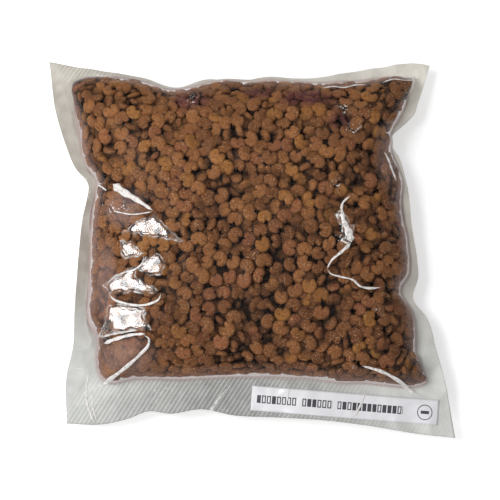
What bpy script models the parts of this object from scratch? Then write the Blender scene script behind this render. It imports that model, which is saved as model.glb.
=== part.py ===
"""A clear vacuum pouch of dry cat food, one kilogram, lying flat on its back.

Its pieces are two plastic films welded together round their edges, the kibble
that they hold between them, and a paper label stuck on the lower welded border.
Metres, +Z up, +X to the pack's right and +Y to its top edge. The origin is on
the table, below the middle of the pack's outline.
"""

import math
import random

import bpy
import numpy as np
from mathutils import Vector
from mathutils.bvhtree import BVHTree
from mathutils.geometry import delaunay_2d_cdt

# The two films, cut from one roll and drawn a little out of square by the vacuum.
TOP_WIDTH = 0.280
BOTTOM_WIDTH = 0.2755
LEFT_SIDE_LENGTH = 0.264
RIGHT_SIDE_LENGTH = 0.271
SIDE_LEAN = 0.0155
TOP_LEFT_RISE = 0.003
FILM_THICKNESS = 0.0002
WELD_GAP = 0.0003

# How the filled pack stands on the table.
PACK_HEIGHT = 0.062
SEAM_HEIGHT = 0.025
CROWN_FULLNESS = 5.0
FLAT_BASE_SHARE = 0.68
CORNER_DROOP = 0.009
BORDER_DROOP = 0.004
BORDER_WAVE = 0.0022
BORDER_WAVES = 9
LEAST_EDGE_HEIGHT = 0.004
LEAST_BORDER = 0.0025

# Slack pockets where the front film stands off the kibble: direction in degrees and share of
# the arc of the middle, radius and height.
FILM_POCKETS = (
    (175.7, 0.515, 0.021, 0.0010),
    (-159.1, 0.585, 0.021, 0.0021),
    (-146.5, 0.685, 0.023, 0.0032),
    (7.8, 0.540, 0.016, 0.0010),
)

# One piece of kibble, a kidney-shaped lens, and how the pieces lie in the pack.
KIBBLE_LENGTH = 0.0108
KIBBLE_SPACING = 0.0012
UNDERSIDE_SPACING = 0.0022
KIBBLE_NOTCH = 0.0030
KIBBLE_RELIEF = 0.0030
KIBBLE_TILT = 0.0007
KIBBLE_CORNERS = 7
FILL_CLEARANCE = 0.0015
LAYOUT_SEED = 11

# The label, a strip of paper on the lower border: its upper right corner is placed
# from the films' lower right corner, along and across their lower edge.
LABEL_LENGTH = 0.133
LABEL_WIDTH = 0.0175
LABEL_THICKNESS = 0.00015
LABEL_GAP = 0.0003
LABEL_RIGHT_MARGIN = 0.01215
LABEL_TOP_MARGIN = 0.0261
LABEL_TURN_FROM_EDGE = math.radians(-2.42)

# How far the films' edges are drawn in from the straight line between two
# corners: (share of the way along the side, distance in metres).
TOP_EDGE_DRAW = (
    (0.0, 0.0), (0.166, 0.0085), (0.249, 0.0126), (0.332, 0.0195), (0.416, 0.0133), (0.499, 0.0159),
    (0.561, 0.0120), (0.686, 0.0114), (0.79, 0.0066), (0.873, 0.0028), (0.956, -0.0014), (1.0, 0.0),
)
RIGHT_EDGE_DRAW = (
    (0.0, 0.0), (0.10, 0.0104), (0.144, 0.0160), (0.187, 0.0312), (0.208, 0.0330), (0.25, 0.0273),
    (0.316, 0.0233), (0.44, 0.0219), (0.53, 0.0190), (0.572, 0.0190), (0.636, 0.0237), (0.68, 0.0158),
    (0.765, 0.0101), (0.85, 0.0050), (1.0, 0.0),
)
BOTTOM_EDGE_DRAW = (
    (0.0, 0.0), (0.093, 0.0018), (0.22, 0.0062), (0.34, 0.0091), (0.465, 0.0099), (0.57, 0.0102),
    (0.655, 0.0136), (0.732, 0.0098), (0.794, 0.0106), (0.835, 0.0058), (0.90, 0.0008), (1.0, 0.0),
)
LEFT_EDGE_DRAW = (
    (0.0, 0.0), (0.135, 0.0027), (0.20, 0.0079), (0.29, 0.0099), (0.423, 0.0140), (0.556, 0.0202),
    (0.60, 0.0232), (0.645, 0.0246), (0.69, 0.0162), (0.756, 0.0098), (0.845, 0.0038), (1.0, 0.0),
)

# Where the kibble ends, measured in from the same straight lines.
TOP_FILL_MARGIN = (
    (0.085, 0.0122), (0.171, 0.0130), (0.244, 0.0160), (0.314, 0.0226), (0.358, 0.0219), (0.457, 0.0158),
    (0.527, 0.0165), (0.60, 0.0155), (0.743, 0.0160), (0.849, 0.0130), (0.93, 0.0092),
)
RIGHT_FILL_MARGIN = (
    (0.060, 0.0130), (0.088, 0.0180), (0.126, 0.0225), (0.168, 0.0300), (0.219, 0.0332), (0.283, 0.0295),
    (0.31, 0.0270), (0.377, 0.0290), (0.489, 0.0260), (0.564, 0.0265), (0.62, 0.0330), (0.658, 0.0270),
    (0.738, 0.0250), (0.775, 0.0250), (0.816, 0.0212), (0.850, 0.0180),
)
BOTTOM_FILL_MARGIN = (
    (0.095, 0.0365), (0.176, 0.0352), (0.225, 0.0364), (0.30, 0.0363), (0.372, 0.0383), (0.439, 0.0387),
    (0.537, 0.0383), (0.6345, 0.0365), (0.707, 0.0347), (0.7735, 0.0340), (0.846, 0.0325), (0.880, 0.0300),
)
LEFT_FILL_MARGIN = (
    (0.145, 0.0249), (0.17, 0.0248), (0.22, 0.0265), (0.26, 0.0215), (0.37, 0.0228), (0.48, 0.0252),
    (0.562, 0.0274), (0.617, 0.0308), (0.65, 0.0310), (0.70, 0.0236), (0.77, 0.0208), (0.825, 0.0194),
    (0.881, 0.0146), (0.93, 0.0140),
)

# How finely the surfaces are divided.
STATIONS_PER_SIDE = 24
CORNER_CLOSENESS = 0.07
SKIN_RING_ARCS = (0.30, 0.43, 0.52, 0.61, 0.70, 0.78, 0.85, 0.92, 1.0)
BORDER_RINGS = 2
OUTLINE_STEPS = 200
PROFILE_STEPS = 400
LABEL_STEPS = (18, 3)

SLOPE_STEP = 1e-4
CDT_EPSILON = 1e-7


def smooth_through(knots, at):
    """A curve through (place, value) knots, one cubic between each two, sloped as its neighbours are."""
    places, values = np.array(knots).T
    slopes = np.gradient(values, places)
    index = np.clip(np.searchsorted(places, at, side="right") - 1, 0, len(places) - 2)
    width = places[index + 1] - places[index]
    t = (at - places[index]) / width
    return (
        (1 + 2 * t) * (1 - t) ** 2 * values[index]
        + t * (1 - t) ** 2 * width * slopes[index]
        + t * t * (3 - 2 * t) * values[index + 1]
        + t * t * (t - 1) * width * slopes[index + 1]
    )


def film_corners():
    """The corners of the cut films, clockwise from the top left, before the pack is centred."""
    return np.array([
        (-TOP_WIDTH / 2 - SIDE_LEAN, TOP_LEFT_RISE),
        (TOP_WIDTH / 2 - SIDE_LEAN, 0),
        (BOTTOM_WIDTH / 2, -RIGHT_SIDE_LENGTH),
        (-BOTTOM_WIDTH / 2, TOP_LEFT_RISE - LEFT_SIDE_LENGTH),
    ])


def along_sides(corners, sides, steps=None):
    """Points drawn in from the four straight sides, at even steps or at each side's own knots."""
    points = []
    for number, knots in enumerate(sides):
        start, end = corners[number], corners[(number + 1) % 4]
        ends = knots[0][0], knots[-1][0]
        share = np.array(knots)[:, 0] if steps is None else np.linspace(*ends, steps, endpoint=False)
        run = end - start
        inward = np.array((run[1], -run[0])) / np.hypot(*run)
        points.append(start + share[:, None] * run + smooth_through(knots, share)[:, None] * inward)
    return np.concatenate(points)


def by_direction(points):
    """Direction and distance of points from the origin, in order of direction, over three turns."""
    angle = np.arctan2(points[:, 1], points[:, 0])
    order = np.argsort(angle)
    angle, distance = angle[order], np.hypot(*points[order].T)
    turns = np.concatenate([angle - 2 * math.pi, angle, angle + 2 * math.pi])
    return np.column_stack([turns, np.tile(distance, 3)])


def straight_between(angles, radii):
    """Distance by direction of the outline that runs straight from each point to the next."""
    ends, far = np.append(angles, angles[0] + 2 * math.pi), np.append(radii, radii[0])

    def radius(at):
        turn = np.mod(at - angles[0], 2 * math.pi) + angles[0]
        n = np.clip(np.searchsorted(ends, turn, side="right") - 1, 0, len(angles) - 1)
        spread = np.sin(ends[n + 1] - ends[n])
        return far[n] * far[n + 1] * spread / (
            far[n] * np.sin(turn - ends[n]) + far[n + 1] * np.sin(ends[n + 1] - turn)
        )

    return radius


def station_angles(corners):
    """Directions round the pack, one of them at each of the films' four corners and closer together there."""
    turns = np.unwrap(np.arctan2(corners[:, 1], corners[:, 0]))
    turns = np.append(turns, turns[0] - 2 * math.pi)
    even = np.linspace(0, 1, STATIONS_PER_SIDE, endpoint=False)
    share = even - CORNER_CLOSENESS * np.sin(2 * math.pi * even)
    sides = [turns[n] + (turns[n + 1] - turns[n]) * share for n in range(4)]
    return np.concatenate(sides)[::-1]


corners = film_corners()
edge_draws = TOP_EDGE_DRAW, RIGHT_EDGE_DRAW, BOTTOM_EDGE_DRAW, LEFT_EDGE_DRAW
fill_margins = TOP_FILL_MARGIN, RIGHT_FILL_MARGIN, BOTTOM_FILL_MARGIN, LEFT_FILL_MARGIN
film_outline = along_sides(corners, edge_draws, OUTLINE_STEPS)
middle = (film_outline.min(axis=0) + film_outline.max(axis=0)) / 2
corners = corners - middle
stations = station_angles(corners)
film_knots = by_direction(film_outline - middle)
fill_knots = by_direction(along_sides(corners, fill_margins))
whole_turn = np.mod(stations + math.pi, 2 * math.pi) - math.pi
fill_at_stations = smooth_through(fill_knots, whole_turn)
film_at_stations = np.maximum(np.interp(whole_turn, *film_knots.T), fill_at_stations + LEAST_BORDER)
fill_radius = straight_between(stations, fill_at_stations)
film_radius = straight_between(stations, film_at_stations)


def arc_table(rise, height):
    """Share of the way along a profile's arc, against distance from the middle and rise, both as shares."""
    share = np.sin(np.linspace(0, math.pi / 2, PROFILE_STEPS))
    mean_radius = float(np.mean(fill_radius(np.linspace(-math.pi, math.pi, OUTLINE_STEPS))))
    lift = rise(share)
    arc = np.concatenate([[0], np.cumsum(np.hypot(np.diff(share) * mean_radius, np.diff(lift) * height))])
    return arc / arc[-1], share, lift, arc[-1] / mean_radius


def crown_rise(share):
    """A full pillow: nearly level in the middle, and upright at the seam."""
    return np.sqrt(1 - share**CROWN_FULLNESS)


def base_rise(share):
    """A flat base, then a quarter of an ellipse up to the seam."""
    return np.sqrt(1 - (np.clip(share - FLAT_BASE_SHARE, 0, None) / (1 - FLAT_BASE_SHARE)) ** 2)


CROWN = arc_table(crown_rise, PACK_HEIGHT - SEAM_HEIGHT)
BASE = arc_table(base_rise, SEAM_HEIGHT)


def seam_height(angle):
    """Height of the weld round the kibble, lower towards the pack's four corners."""
    around = fill_radius(np.linspace(-math.pi, math.pi, OUTLINE_STEPS))
    reach = (fill_radius(angle) - around.min()) / (around.max() - around.min())
    return SEAM_HEIGHT - CORNER_DROOP * reach**2


def edge_height(angle):
    """Height of the films' cut edge, which hangs a little and waves."""
    wave = BORDER_WAVE * np.sin(BORDER_WAVES * angle)
    return np.maximum(seam_height(angle) - BORDER_DROOP + wave, LEAST_EDGE_HEIGHT)


def polar_points(angle, distance, height):
    return np.stack([distance * np.cos(angle), distance * np.sin(angle), height], axis=-1)


def front_surface(angle, arc):
    """Inner face of the front film, by direction and by share of the arc from the middle to the seam."""
    share, lift = np.interp(arc, CROWN[0], CROWN[1]), np.interp(arc, CROWN[0], CROWN[2])
    seam = seam_height(angle) + WELD_GAP / 2
    top = PACK_HEIGHT - FILM_THICKNESS
    return polar_points(angle, fill_radius(angle) * share, seam + (top - seam) * lift)


def slack_front_surface(angle, arc):
    """The same face with its pockets: each lifts it by its height times (1 - (distance / radius)^2)^2."""
    points = front_surface(angle, arc)
    for degrees, share, radius, height in FILM_POCKETS:
        middle_x, middle_y, _ = front_surface(np.radians(degrees), share)
        distance = np.hypot(points[..., 0] - middle_x, points[..., 1] - middle_y)
        points[..., 2] += height * np.clip(1 - (distance / radius) ** 2, 0, None) ** 2
    return points


def back_surface(angle, arc):
    """Inner face of the back film, by the same two measures."""
    share, lift = np.interp(arc, BASE[0], BASE[1]), np.interp(arc, BASE[0], BASE[2])
    seam = seam_height(angle) - WELD_GAP / 2
    return polar_points(angle, fill_radius(angle) * share, seam + (FILM_THICKNESS - seam) * lift)


def border_surface(angle, share, side):
    """Inner face of the front film (side 1) or the back film (side -1) from the seam out to the cut edge."""
    seam, edge = seam_height(angle), edge_height(angle)
    distance = fill_radius(angle) + (film_radius(angle) - fill_radius(angle)) * share
    return polar_points(angle, distance, seam + (edge - seam) * share + side * WELD_GAP / 2)


def offset_inward(surface, angle, arc, depth, side):
    """Points a given depth below a surface, along its slope's normal."""
    here = surface(angle, arc)
    inner = np.clip(arc - SLOPE_STEP, SLOPE_STEP, None)
    along = surface(angle, inner + SLOPE_STEP) - surface(angle, inner)
    across = surface(angle + SLOPE_STEP, np.maximum(arc, SLOPE_STEP)) - surface(
        angle - SLOPE_STEP, np.maximum(arc, SLOPE_STEP)
    )
    normal = np.cross(along, across)
    normal /= np.linalg.norm(normal, axis=-1, keepdims=True)
    return here - side * normal * np.asarray(depth)[..., None]


def material(name, colour, roughness, alpha=1.0):
    made = bpy.data.materials.new(name)
    made.use_nodes = True
    shader = made.node_tree.nodes["Principled BSDF"]
    shader.inputs["Base Color"].default_value = (*colour, 1.0)
    shader.inputs["Roughness"].default_value = roughness
    shader.inputs["Metallic"].default_value = 0.0
    shader.inputs["Alpha"].default_value = alpha
    return made


def mesh_object(name, points, faces, finish):
    mesh = bpy.data.meshes.new(name)
    mesh.from_pydata([tuple(p) for p in points], [], [tuple(f) for f in faces])
    mesh.materials.append(finish)
    mesh.shade_smooth()
    made = bpy.data.objects.new(name, mesh)
    bpy.context.scene.collection.objects.link(made)
    return made


def thicken(sheet, thickness):
    """Gives a sheet its thickness on the side that its faces point to."""
    solid = sheet.modifiers.new("thickness", "SOLIDIFY")
    solid.thickness = thickness
    solid.offset = 1.0
    solid.use_even_offset = False
    return sheet


def film(name, surface, side, finish):
    """One film: a fan round its middle, rings to the seam, and rings across the welded border."""
    angles = stations
    count = len(angles)
    rings = [surface(angles, np.full(count, arc)) for arc in SKIN_RING_ARCS]
    rings += [border_surface(angles, (n + 1) / BORDER_RINGS, side) for n in range(BORDER_RINGS)]
    points = [surface(np.zeros(1), np.zeros(1))[0], *np.concatenate(rings)]
    faces = []
    for a in range(count):
        b = (a + 1) % count
        faces.append((0, 1 + a, 1 + b))
        for ring in range(len(rings) - 1):
            low, high = 1 + ring * count, 1 + (ring + 1) * count
            faces.append((low + a, high + a, high + b))
            faces.append((low + a, high + b, low + b))
    if side < 0:
        faces = [face[::-1] for face in faces]
    return thicken(mesh_object(name, points, faces, finish), FILM_THICKNESS)


def unrolled(points, stretch):
    """Direction and share of the arc for points laid out flat, as if the skin were unrolled."""
    angle = np.arctan2(points[:, 1], points[:, 0])
    return angle, np.hypot(points[:, 0], points[:, 1]) / (fill_radius(angle) * stretch)


def kibble_centres(pitch, stretch, draw):
    """A loose six-sided lattice over an unrolled skin, and the hollows between its pieces."""
    reach = float(fill_radius(np.linspace(-math.pi, math.pi, OUTLINE_STEPS)).max()) * stretch
    row_step = pitch * math.sqrt(3) / 2
    rows = math.ceil(reach / row_step)
    columns = math.ceil(reach / pitch)
    centres, hollows = [], []
    for row in range(-rows, rows + 1):
        for column in range(-columns, columns + 1):
            x, y = (column + 0.5 * (row % 2)) * pitch, row * row_step
            centres.append((x + draw.uniform(-1, 1) * KIBBLE_SPACING, y + draw.uniform(-1, 1) * KIBBLE_SPACING))
            hollows.append((x, y + pitch / math.sqrt(3)))
            hollows.append((x + pitch / 2, y + pitch / math.sqrt(12)))
    return np.array(centres), np.array(hollows)


def kidney_ring(centre, length, notch, turn):
    """Corners of one piece seen from above: an oval with one corner pulled in."""
    angles = turn + np.arange(KIBBLE_CORNERS) * 2 * math.pi / KIBBLE_CORNERS
    radii = np.full(KIBBLE_CORNERS, length / 2)
    radii[0] -= notch
    return np.column_stack([centre[0] + radii * np.cos(angles), centre[1] + radii * np.sin(angles)])


def kibble_layout(stretch, spacing, ringed, draw):
    """Flat places and depths of a layer's corners, laid out on an unrolled skin.

    A piece is a middle with a ring of corners, or a plain dome of its middle alone, among hollows.
    """
    centres, hollows = kibble_centres(KIBBLE_LENGTH + spacing, stretch, draw)
    places, depths = [], []
    for centre in centres:
        turn, lean_to = draw.uniform(0, 2 * math.pi), draw.uniform(0, 2 * math.pi)
        lean = draw.uniform(0, KIBBLE_TILT)
        ring = kidney_ring(centre, KIBBLE_LENGTH, KIBBLE_NOTCH, turn)
        angle, arc = unrolled(ring, stretch)
        if ((1 - arc) * fill_radius(angle)).min() * stretch < KIBBLE_SPACING:
            continue
        places.append(centre)
        depths.append(0.0)
        if ringed:
            toward = np.arctan2(ring[:, 1] - centre[1], ring[:, 0] - centre[0])
            rim_depth = KIBBLE_TILT + lean * np.cos(toward - lean_to)
            rim_depth[0] += KIBBLE_NOTCH / 2
            places += [*ring]
            depths += [*rim_depth]
    angle, arc = unrolled(hollows, stretch)
    inside = hollows[(1 - arc) * fill_radius(angle) * stretch > KIBBLE_LENGTH / 2]
    places += list(inside)
    depths += [KIBBLE_RELIEF] * len(inside)
    return np.array(places), np.array(depths)


def triangulated(rim, inner):
    """Triangles over a closed rim and the points inside it, which keep their order."""
    count = len(rim)
    edges = [(n, (n + 1) % count) for n in range(count)]
    places = [tuple(p) for p in (*rim, *inner)]
    _, _, faces, origins, _, _ = delaunay_2d_cdt(places, edges, [], 1, CDT_EPSILON)
    source = [origin[0] for origin in origins]
    return [tuple(source[n] for n in face) for face in faces]


def kibble_half(surface, side, table, spacing, ringed, draw):
    """The corners of one side of the fill, and its triangles, of which the rim's corners come first."""
    stretch = table[3]
    flat_rim = polar_points(stations, fill_radius(stations) * stretch, 0 * stations)[:, :2]
    places, depths = kibble_layout(stretch, spacing, ringed, draw)
    angle, arc = unrolled(places, stretch)
    return offset_inward(surface, angle, arc, FILL_CLEARANCE + depths, side), triangulated(flat_rim, places)


def kibble_fill(finish):
    """All the kibble as one solid, since it has far more pieces than a part may have: kidney-shaped
    pieces lie against the front film, and plain domes against the back film."""
    draw = random.Random(LAYOUT_SEED)
    one = np.ones(len(stations))
    front_rim = offset_inward(front_surface, stations, one, one * FILL_CLEARANCE, 1)
    back_rim = offset_inward(back_surface, stations, one, one * FILL_CLEARANCE, -1)
    rim = (front_rim + back_rim) / 2
    front, top = kibble_half(front_surface, 1, CROWN, KIBBLE_SPACING, True, draw)
    back, bottom = kibble_half(back_surface, -1, BASE, UNDERSIDE_SPACING, False, draw)
    count, shift = len(rim), len(front)
    under = [tuple(n if n < count else n + shift for n in face[::-1]) for face in bottom]
    return mesh_object("kibble_fill", [*rim, *front, *back], [*top, *under], finish)


def label(carrier, finish):
    """A paper strip that follows the lower border of the front film."""
    skin = BVHTree.FromObject(carrier, bpy.context.evaluated_depsgraph_get())
    across, down = LABEL_STEPS
    edge = (corners[2] - corners[3]) / np.hypot(*(corners[2] - corners[3]))
    upward = np.array((-edge[1], edge[0]))
    corner = corners[2] - edge * LABEL_RIGHT_MARGIN + upward * LABEL_TOP_MARGIN
    along = edge * math.cos(LABEL_TURN_FROM_EDGE) + upward * math.sin(LABEL_TURN_FROM_EDGE)
    fall = np.array((along[1], -along[0]))
    points = []
    for row in range(down + 1):
        for column in range(across + 1):
            place = corner - along * LABEL_LENGTH * (1 - column / across) + fall * LABEL_WIDTH * row / down
            hit, _, _, _ = skin.ray_cast(Vector((*place, PACK_HEIGHT)), Vector((0, 0, -1)))
            points.append((*place, hit.z + LABEL_GAP))
    faces = []
    for row in range(down):
        for column in range(across):
            n = row * (across + 1) + column
            faces.append((n, n + across + 1, n + across + 2, n + 1))
    return thicken(mesh_object("label", points, faces, finish), LABEL_THICKNESS)


def main():
    for old in list(bpy.data.objects):
        bpy.data.objects.remove(old)
    clear = material("clear_film", (0.72, 0.72, 0.69), 0.12, alpha=0.35)
    ribbed = material("ribbed_film", (0.66, 0.67, 0.65), 0.25, alpha=0.45)
    biscuit = material("kibble_brown", (0.155, 0.068, 0.030), 0.75)
    paper = material("label_paper", (0.80, 0.80, 0.82), 0.45)
    front = film("front_film", slack_front_surface, 1, clear)
    film("back_film", back_surface, -1, ribbed)
    kibble_fill(biscuit)
    label(front, paper)


main()
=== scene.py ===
"""The looks of a clear vacuum pouch of dry cat food that lies on its back.

The pouch is two welded films, the kibble between them and a paper strip on the
lower border. Its skin is described by a direction round the pack's middle and a
share: along the skin's arc from the middle to the weld, or across the border
from the weld to the cut edge. Everything is placed by these two, in metres.
"""

import math

import bpy
import numpy as np
from bpy.props import FloatProperty, FloatVectorProperty, IntProperty, PointerProperty
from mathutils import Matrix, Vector


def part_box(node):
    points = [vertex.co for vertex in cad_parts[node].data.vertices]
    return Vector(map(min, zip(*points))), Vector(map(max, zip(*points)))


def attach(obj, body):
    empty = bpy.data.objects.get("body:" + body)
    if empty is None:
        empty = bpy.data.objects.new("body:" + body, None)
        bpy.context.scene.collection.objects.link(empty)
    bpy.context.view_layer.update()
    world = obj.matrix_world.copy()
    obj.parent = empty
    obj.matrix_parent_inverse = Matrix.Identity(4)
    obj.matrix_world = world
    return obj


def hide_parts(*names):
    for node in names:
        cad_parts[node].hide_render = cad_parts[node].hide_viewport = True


bl_info = {
    "name": "Kibble pouch looks",
    "version": (1, 0, 0),
    "blender": (4, 5, 0),
    "location": "3D View > Sidebar > Pouch",
    "description": "Builds the kibble, films, label and stage of a vacuum pouch around its solids",
    "category": "Object",
}

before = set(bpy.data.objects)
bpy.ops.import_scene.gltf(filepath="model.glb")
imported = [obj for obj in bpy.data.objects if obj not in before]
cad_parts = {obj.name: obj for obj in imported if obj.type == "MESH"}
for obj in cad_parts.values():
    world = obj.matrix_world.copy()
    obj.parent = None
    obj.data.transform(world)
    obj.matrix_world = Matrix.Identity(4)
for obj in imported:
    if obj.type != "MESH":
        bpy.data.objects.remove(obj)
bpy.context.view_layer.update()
PACK_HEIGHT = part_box("front_film")[1][2]
TURN = 2 * math.pi
MM = 0.001

# How far the films' edges are drawn in from the straight line between two
# corners, clockwise from the top left: (share of the side, metres).
EDGE_DRAWS = (
    ((0.0, 0.0), (0.166, 0.0085), (0.249, 0.0126), (0.332, 0.0195), (0.416, 0.0133), (0.499, 0.0159),
     (0.561, 0.012), (0.686, 0.0114), (0.79, 0.0066), (0.873, 0.0028), (0.956, -0.0014), (1.0, 0.0)),
    ((0.0, 0.0), (0.1, 0.0104), (0.144, 0.016), (0.187, 0.0312), (0.208, 0.033), (0.25, 0.0273),
     (0.316, 0.0233), (0.44, 0.0219), (0.53, 0.019), (0.572, 0.019), (0.636, 0.0237), (0.68, 0.0158),
     (0.765, 0.0101), (0.85, 0.005), (1.0, 0.0)),
    ((0.0, 0.0), (0.093, 0.0018), (0.22, 0.0062), (0.34, 0.0091), (0.465, 0.0099), (0.57, 0.0102),
     (0.655, 0.0136), (0.732, 0.0098), (0.794, 0.0106), (0.835, 0.0058), (0.9, 0.0008), (1.0, 0.0)),
    ((0.0, 0.0), (0.135, 0.0027), (0.2, 0.0079), (0.29, 0.0099), (0.423, 0.014), (0.556, 0.0202),
     (0.6, 0.0232), (0.645, 0.0246), (0.69, 0.0162), (0.756, 0.0098), (0.845, 0.0038), (1.0, 0.0)),
)
# Where the kibble ends, measured in from the same straight lines.
FILL_MARGINS = (
    ((0.085, 0.0122), (0.171, 0.013), (0.244, 0.016), (0.314, 0.0226), (0.358, 0.0219), (0.457, 0.0158),
     (0.527, 0.0165), (0.6, 0.0155), (0.743, 0.016), (0.849, 0.013), (0.93, 0.0092)),
    ((0.06, 0.013), (0.088, 0.018), (0.126, 0.0225), (0.168, 0.03), (0.219, 0.0332), (0.283, 0.0295),
     (0.31, 0.027), (0.377, 0.029), (0.489, 0.026), (0.564, 0.0265), (0.62, 0.033), (0.658, 0.027),
     (0.738, 0.025), (0.775, 0.025), (0.816, 0.0212), (0.85, 0.018)),
    ((0.095, 0.0365), (0.176, 0.0352), (0.225, 0.0364), (0.3, 0.0363), (0.372, 0.0383), (0.439, 0.0387),
     (0.537, 0.0383), (0.6345, 0.0365), (0.707, 0.0347), (0.7735, 0.034), (0.846, 0.0325), (0.88, 0.03)),
    ((0.145, 0.0249), (0.17, 0.0248), (0.22, 0.0265), (0.26, 0.0215), (0.37, 0.0228), (0.48, 0.0252),
     (0.562, 0.0274), (0.617, 0.0308), (0.65, 0.031), (0.7, 0.0236), (0.77, 0.0208), (0.825, 0.0194),
     (0.881, 0.0146), (0.93, 0.014)),
)
# Pockets where the front film stands off the kibble in flat facets: their corners in millimetres.
POCKETS = (
    ((-86.4, 5.0), (-77.3, 11.7), (-64.8, 16.3), (-57.9, 10.0), (-44.7, -2.7), (-65.5, 1.2)),
    ((-88.8, -0.6), (-81.5, -2.0), (-70.4, -11.1), (-85.7, -13.5)),
    ((-77.3, -20.9), (-68.3, -12.5), (-60.7, -10.4), (-57.2, -15.3), (-59.3, -24.8), (-65.5, -25.8)),
    ((-98.0, -32.4), (-94.9, -28.1), (-83.7, -22.2), (-77.3, -18.1), (-77.3, -26.5), (-66.7, -32.4),
     (-59.7, -38.2), (-76.2, -37.2), (-95.4, -37.2)),
    ((-93.8, -43.6), (-84.0, -46.4), (-69.3, -47.5), (-71.0, -54.9), (-66.2, -62.3), (-80.5, -63.5),
     (-99.1, -67.7), (-97.5, -54.9), (-96.0, -47.3)),
    ((58.8, 17.0), (64.4, 19.8), (68.6, 13.5), (72.1, 8.5), (72.1, 2.9), (70.0, -3.4), (62.6, -2.3),
     (65.8, 2.2), (64.4, 10.0)),
)
# Thin folds in the front film, in millimetres: half width at the start and at the end, height of
# the foot above the film, then (x, y) along the fold.
FOLDS = (
    (3.4, 0.7, 0.1, (-94.6, 39.5), (-87.8, 33.8), (-78.7, 28.2), (-65.5, 19.1)),
    (0.8, 0.9, 0.1, (-96.1, -38.0), (-92.6, -41.6), (-85.0, -44.4), (-75.3, -46.1), (-66.2, -44.7),
     (-60.7, -41.2), (-60.0, -38.2)),
    (0.5, 0.4, 0.1, (-94.0, 20.0), (-80.0, 17.0), (-66.0, 18.5)),
    (0.5, 0.7, 0.1, (-72.0, -12.0), (-72.5, -16.5), (-77.3, -20.9), (-86.0, -23.4), (-94.9, -28.1),
     (-98.0, -32.4)),
    (1.5, 0.9, 0.1, (-100.2, -71.5), (-91.2, -68.8), (-79.4, -66.1), (-70.0, -65.5)),
    (0.9, 1.5, 0.1, (-72.0, -66.1), (-67.7, -69.3), (-68.3, -73.1), (-72.5, -77.9), (-81.6, -85.9),
     (-92.2, -93.4), (-107.5, -101.5)),
    (0.9, 0.5, 0.1, (-101.0, -66.5), (-88.0, -64.5), (-76.0, -63.0)),
    (0.5, 1.2, 0.1, (70.5, 29.8), (64.9, 24.0), (64.4, 19.7), (66.5, 14.0)),
    (1.4, 0.5, 0.1, (70.5, -3.4), (63.6, -9.8), (56.9, -15.7), (54.0, -21.1)),
    (0.5, 0.9, 0.1, (54.0, -21.1), (56.2, -24.3), (62.6, -26.4), (72.6, -29.3), (76.3, -32.8),
     (82.7, -34.2), (91.3, -33.4)),
    (0.9, 3.4, 0.1, (64.4, 19.7), (65.5, 13.0), (69.0, 5.0), (71.0, -2.5)),
    (1.0, 0.7, 0.1, (96.0, 63.5), (98.0, 60.5), (101.0, 52.0), (104.2, 43.0)),
    (0.6, 0.6, 0.1, (-107.0, 41.5), (-103.0, 38.5), (-99.5, 35.5)),
    (0.9, 1.4, 0.1, (78.0, -87.0), (92.0, -91.0), (108.0, -99.0), (122.0, -108.0)),
    (1.4, 0.3, 0.1, (-27.0, -119.0), (-21.0, -110.0), (-15.0, -102.0)),
    (0.5, 0.9, 0.6, (83.0, -104.0), (80.0, -112.0), (75.0, -122.0)),
    (0.4, 0.5, 0.6, (29.0, -102.5), (28.0, -107.0), (27.0, -112.0)),
    (0.5, 0.8, 0.1, (-112.8, -90.9), (-114.9, -104.9), (-112.8, -117.5), (-107.9, -128.0)),
    (0.3, 0.6, 0.1, (-110.7, -103.5), (-110.0, -114.0), (-107.2, -125.9)),
    (0.25, 0.25, 0.1, (-122.5, -88.1), (-117.0, -88.0), (-112.8, -88.1)),
    (0.5, 0.4, 0.1, (95.0, 113.5), (104.0, 117.0), (113.0, 116.5), (123.0, 119.5)),
    (0.4, 0.3, 0.1, (108.0, 121.0), (116.0, 122.5), (126.0, 124.0)),
    (0.5, 0.5, 0.1, (52.0, 109.5), (60.0, 111.0), (68.0, 110.0), (77.0, 112.5), (84.0, 112.0)),
)
# How milky and how lit the welded border is, by direction in degrees, as painted light and shade
# over its haze: 0 for dim film, 1 for bright.
BORDER_MILK_AND_LIGHT = (
    (-180, 0.0), (-160, 0.15), (-137, 0.7), (-123, 0.32), (-101, 0.16), (-80, 0.26), (-60, 0.5),
    (-45, 0.9), (-33, 0.9), (-20, 0.7), (-10, 0.6), (0, 0.62), (14, 0.7), (20, 0.75), (33, 0.95),
    (44, 1.05), (60, 0.8), (91, 0.62), (120, 0.5), (137, 0.5), (143, 0.3), (165, 0.08), (180, 0.0),
)
# How strongly the pressed ribs show in the border, in relief and in painted light and shade, by
# direction in degrees.
BORDER_RIBS = (
    (-180, 0.0), (-142, 0.0), (-132, 0.9), (-100, 1.0), (-60, 0.6), (-48, 0.2), (-30, 0.0), (40, 0.0),
    (60, 0.15), (100, 0.1), (124, 0.2), (130, 0.55), (134, 0.5), (138, 0.05), (150, 0.0), (180, 0.0),
)
# Broad pale streaks of painted highlight in the border: half width, then (x, y) along each, in
# millimetres.
BORDER_HIGHLIGHT_STREAKS = (
    (2.2, (112, 118), (124, 121), (134, 125)),
    (1.8, (106, -52), (113, -75), (121, -104)),
)
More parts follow.
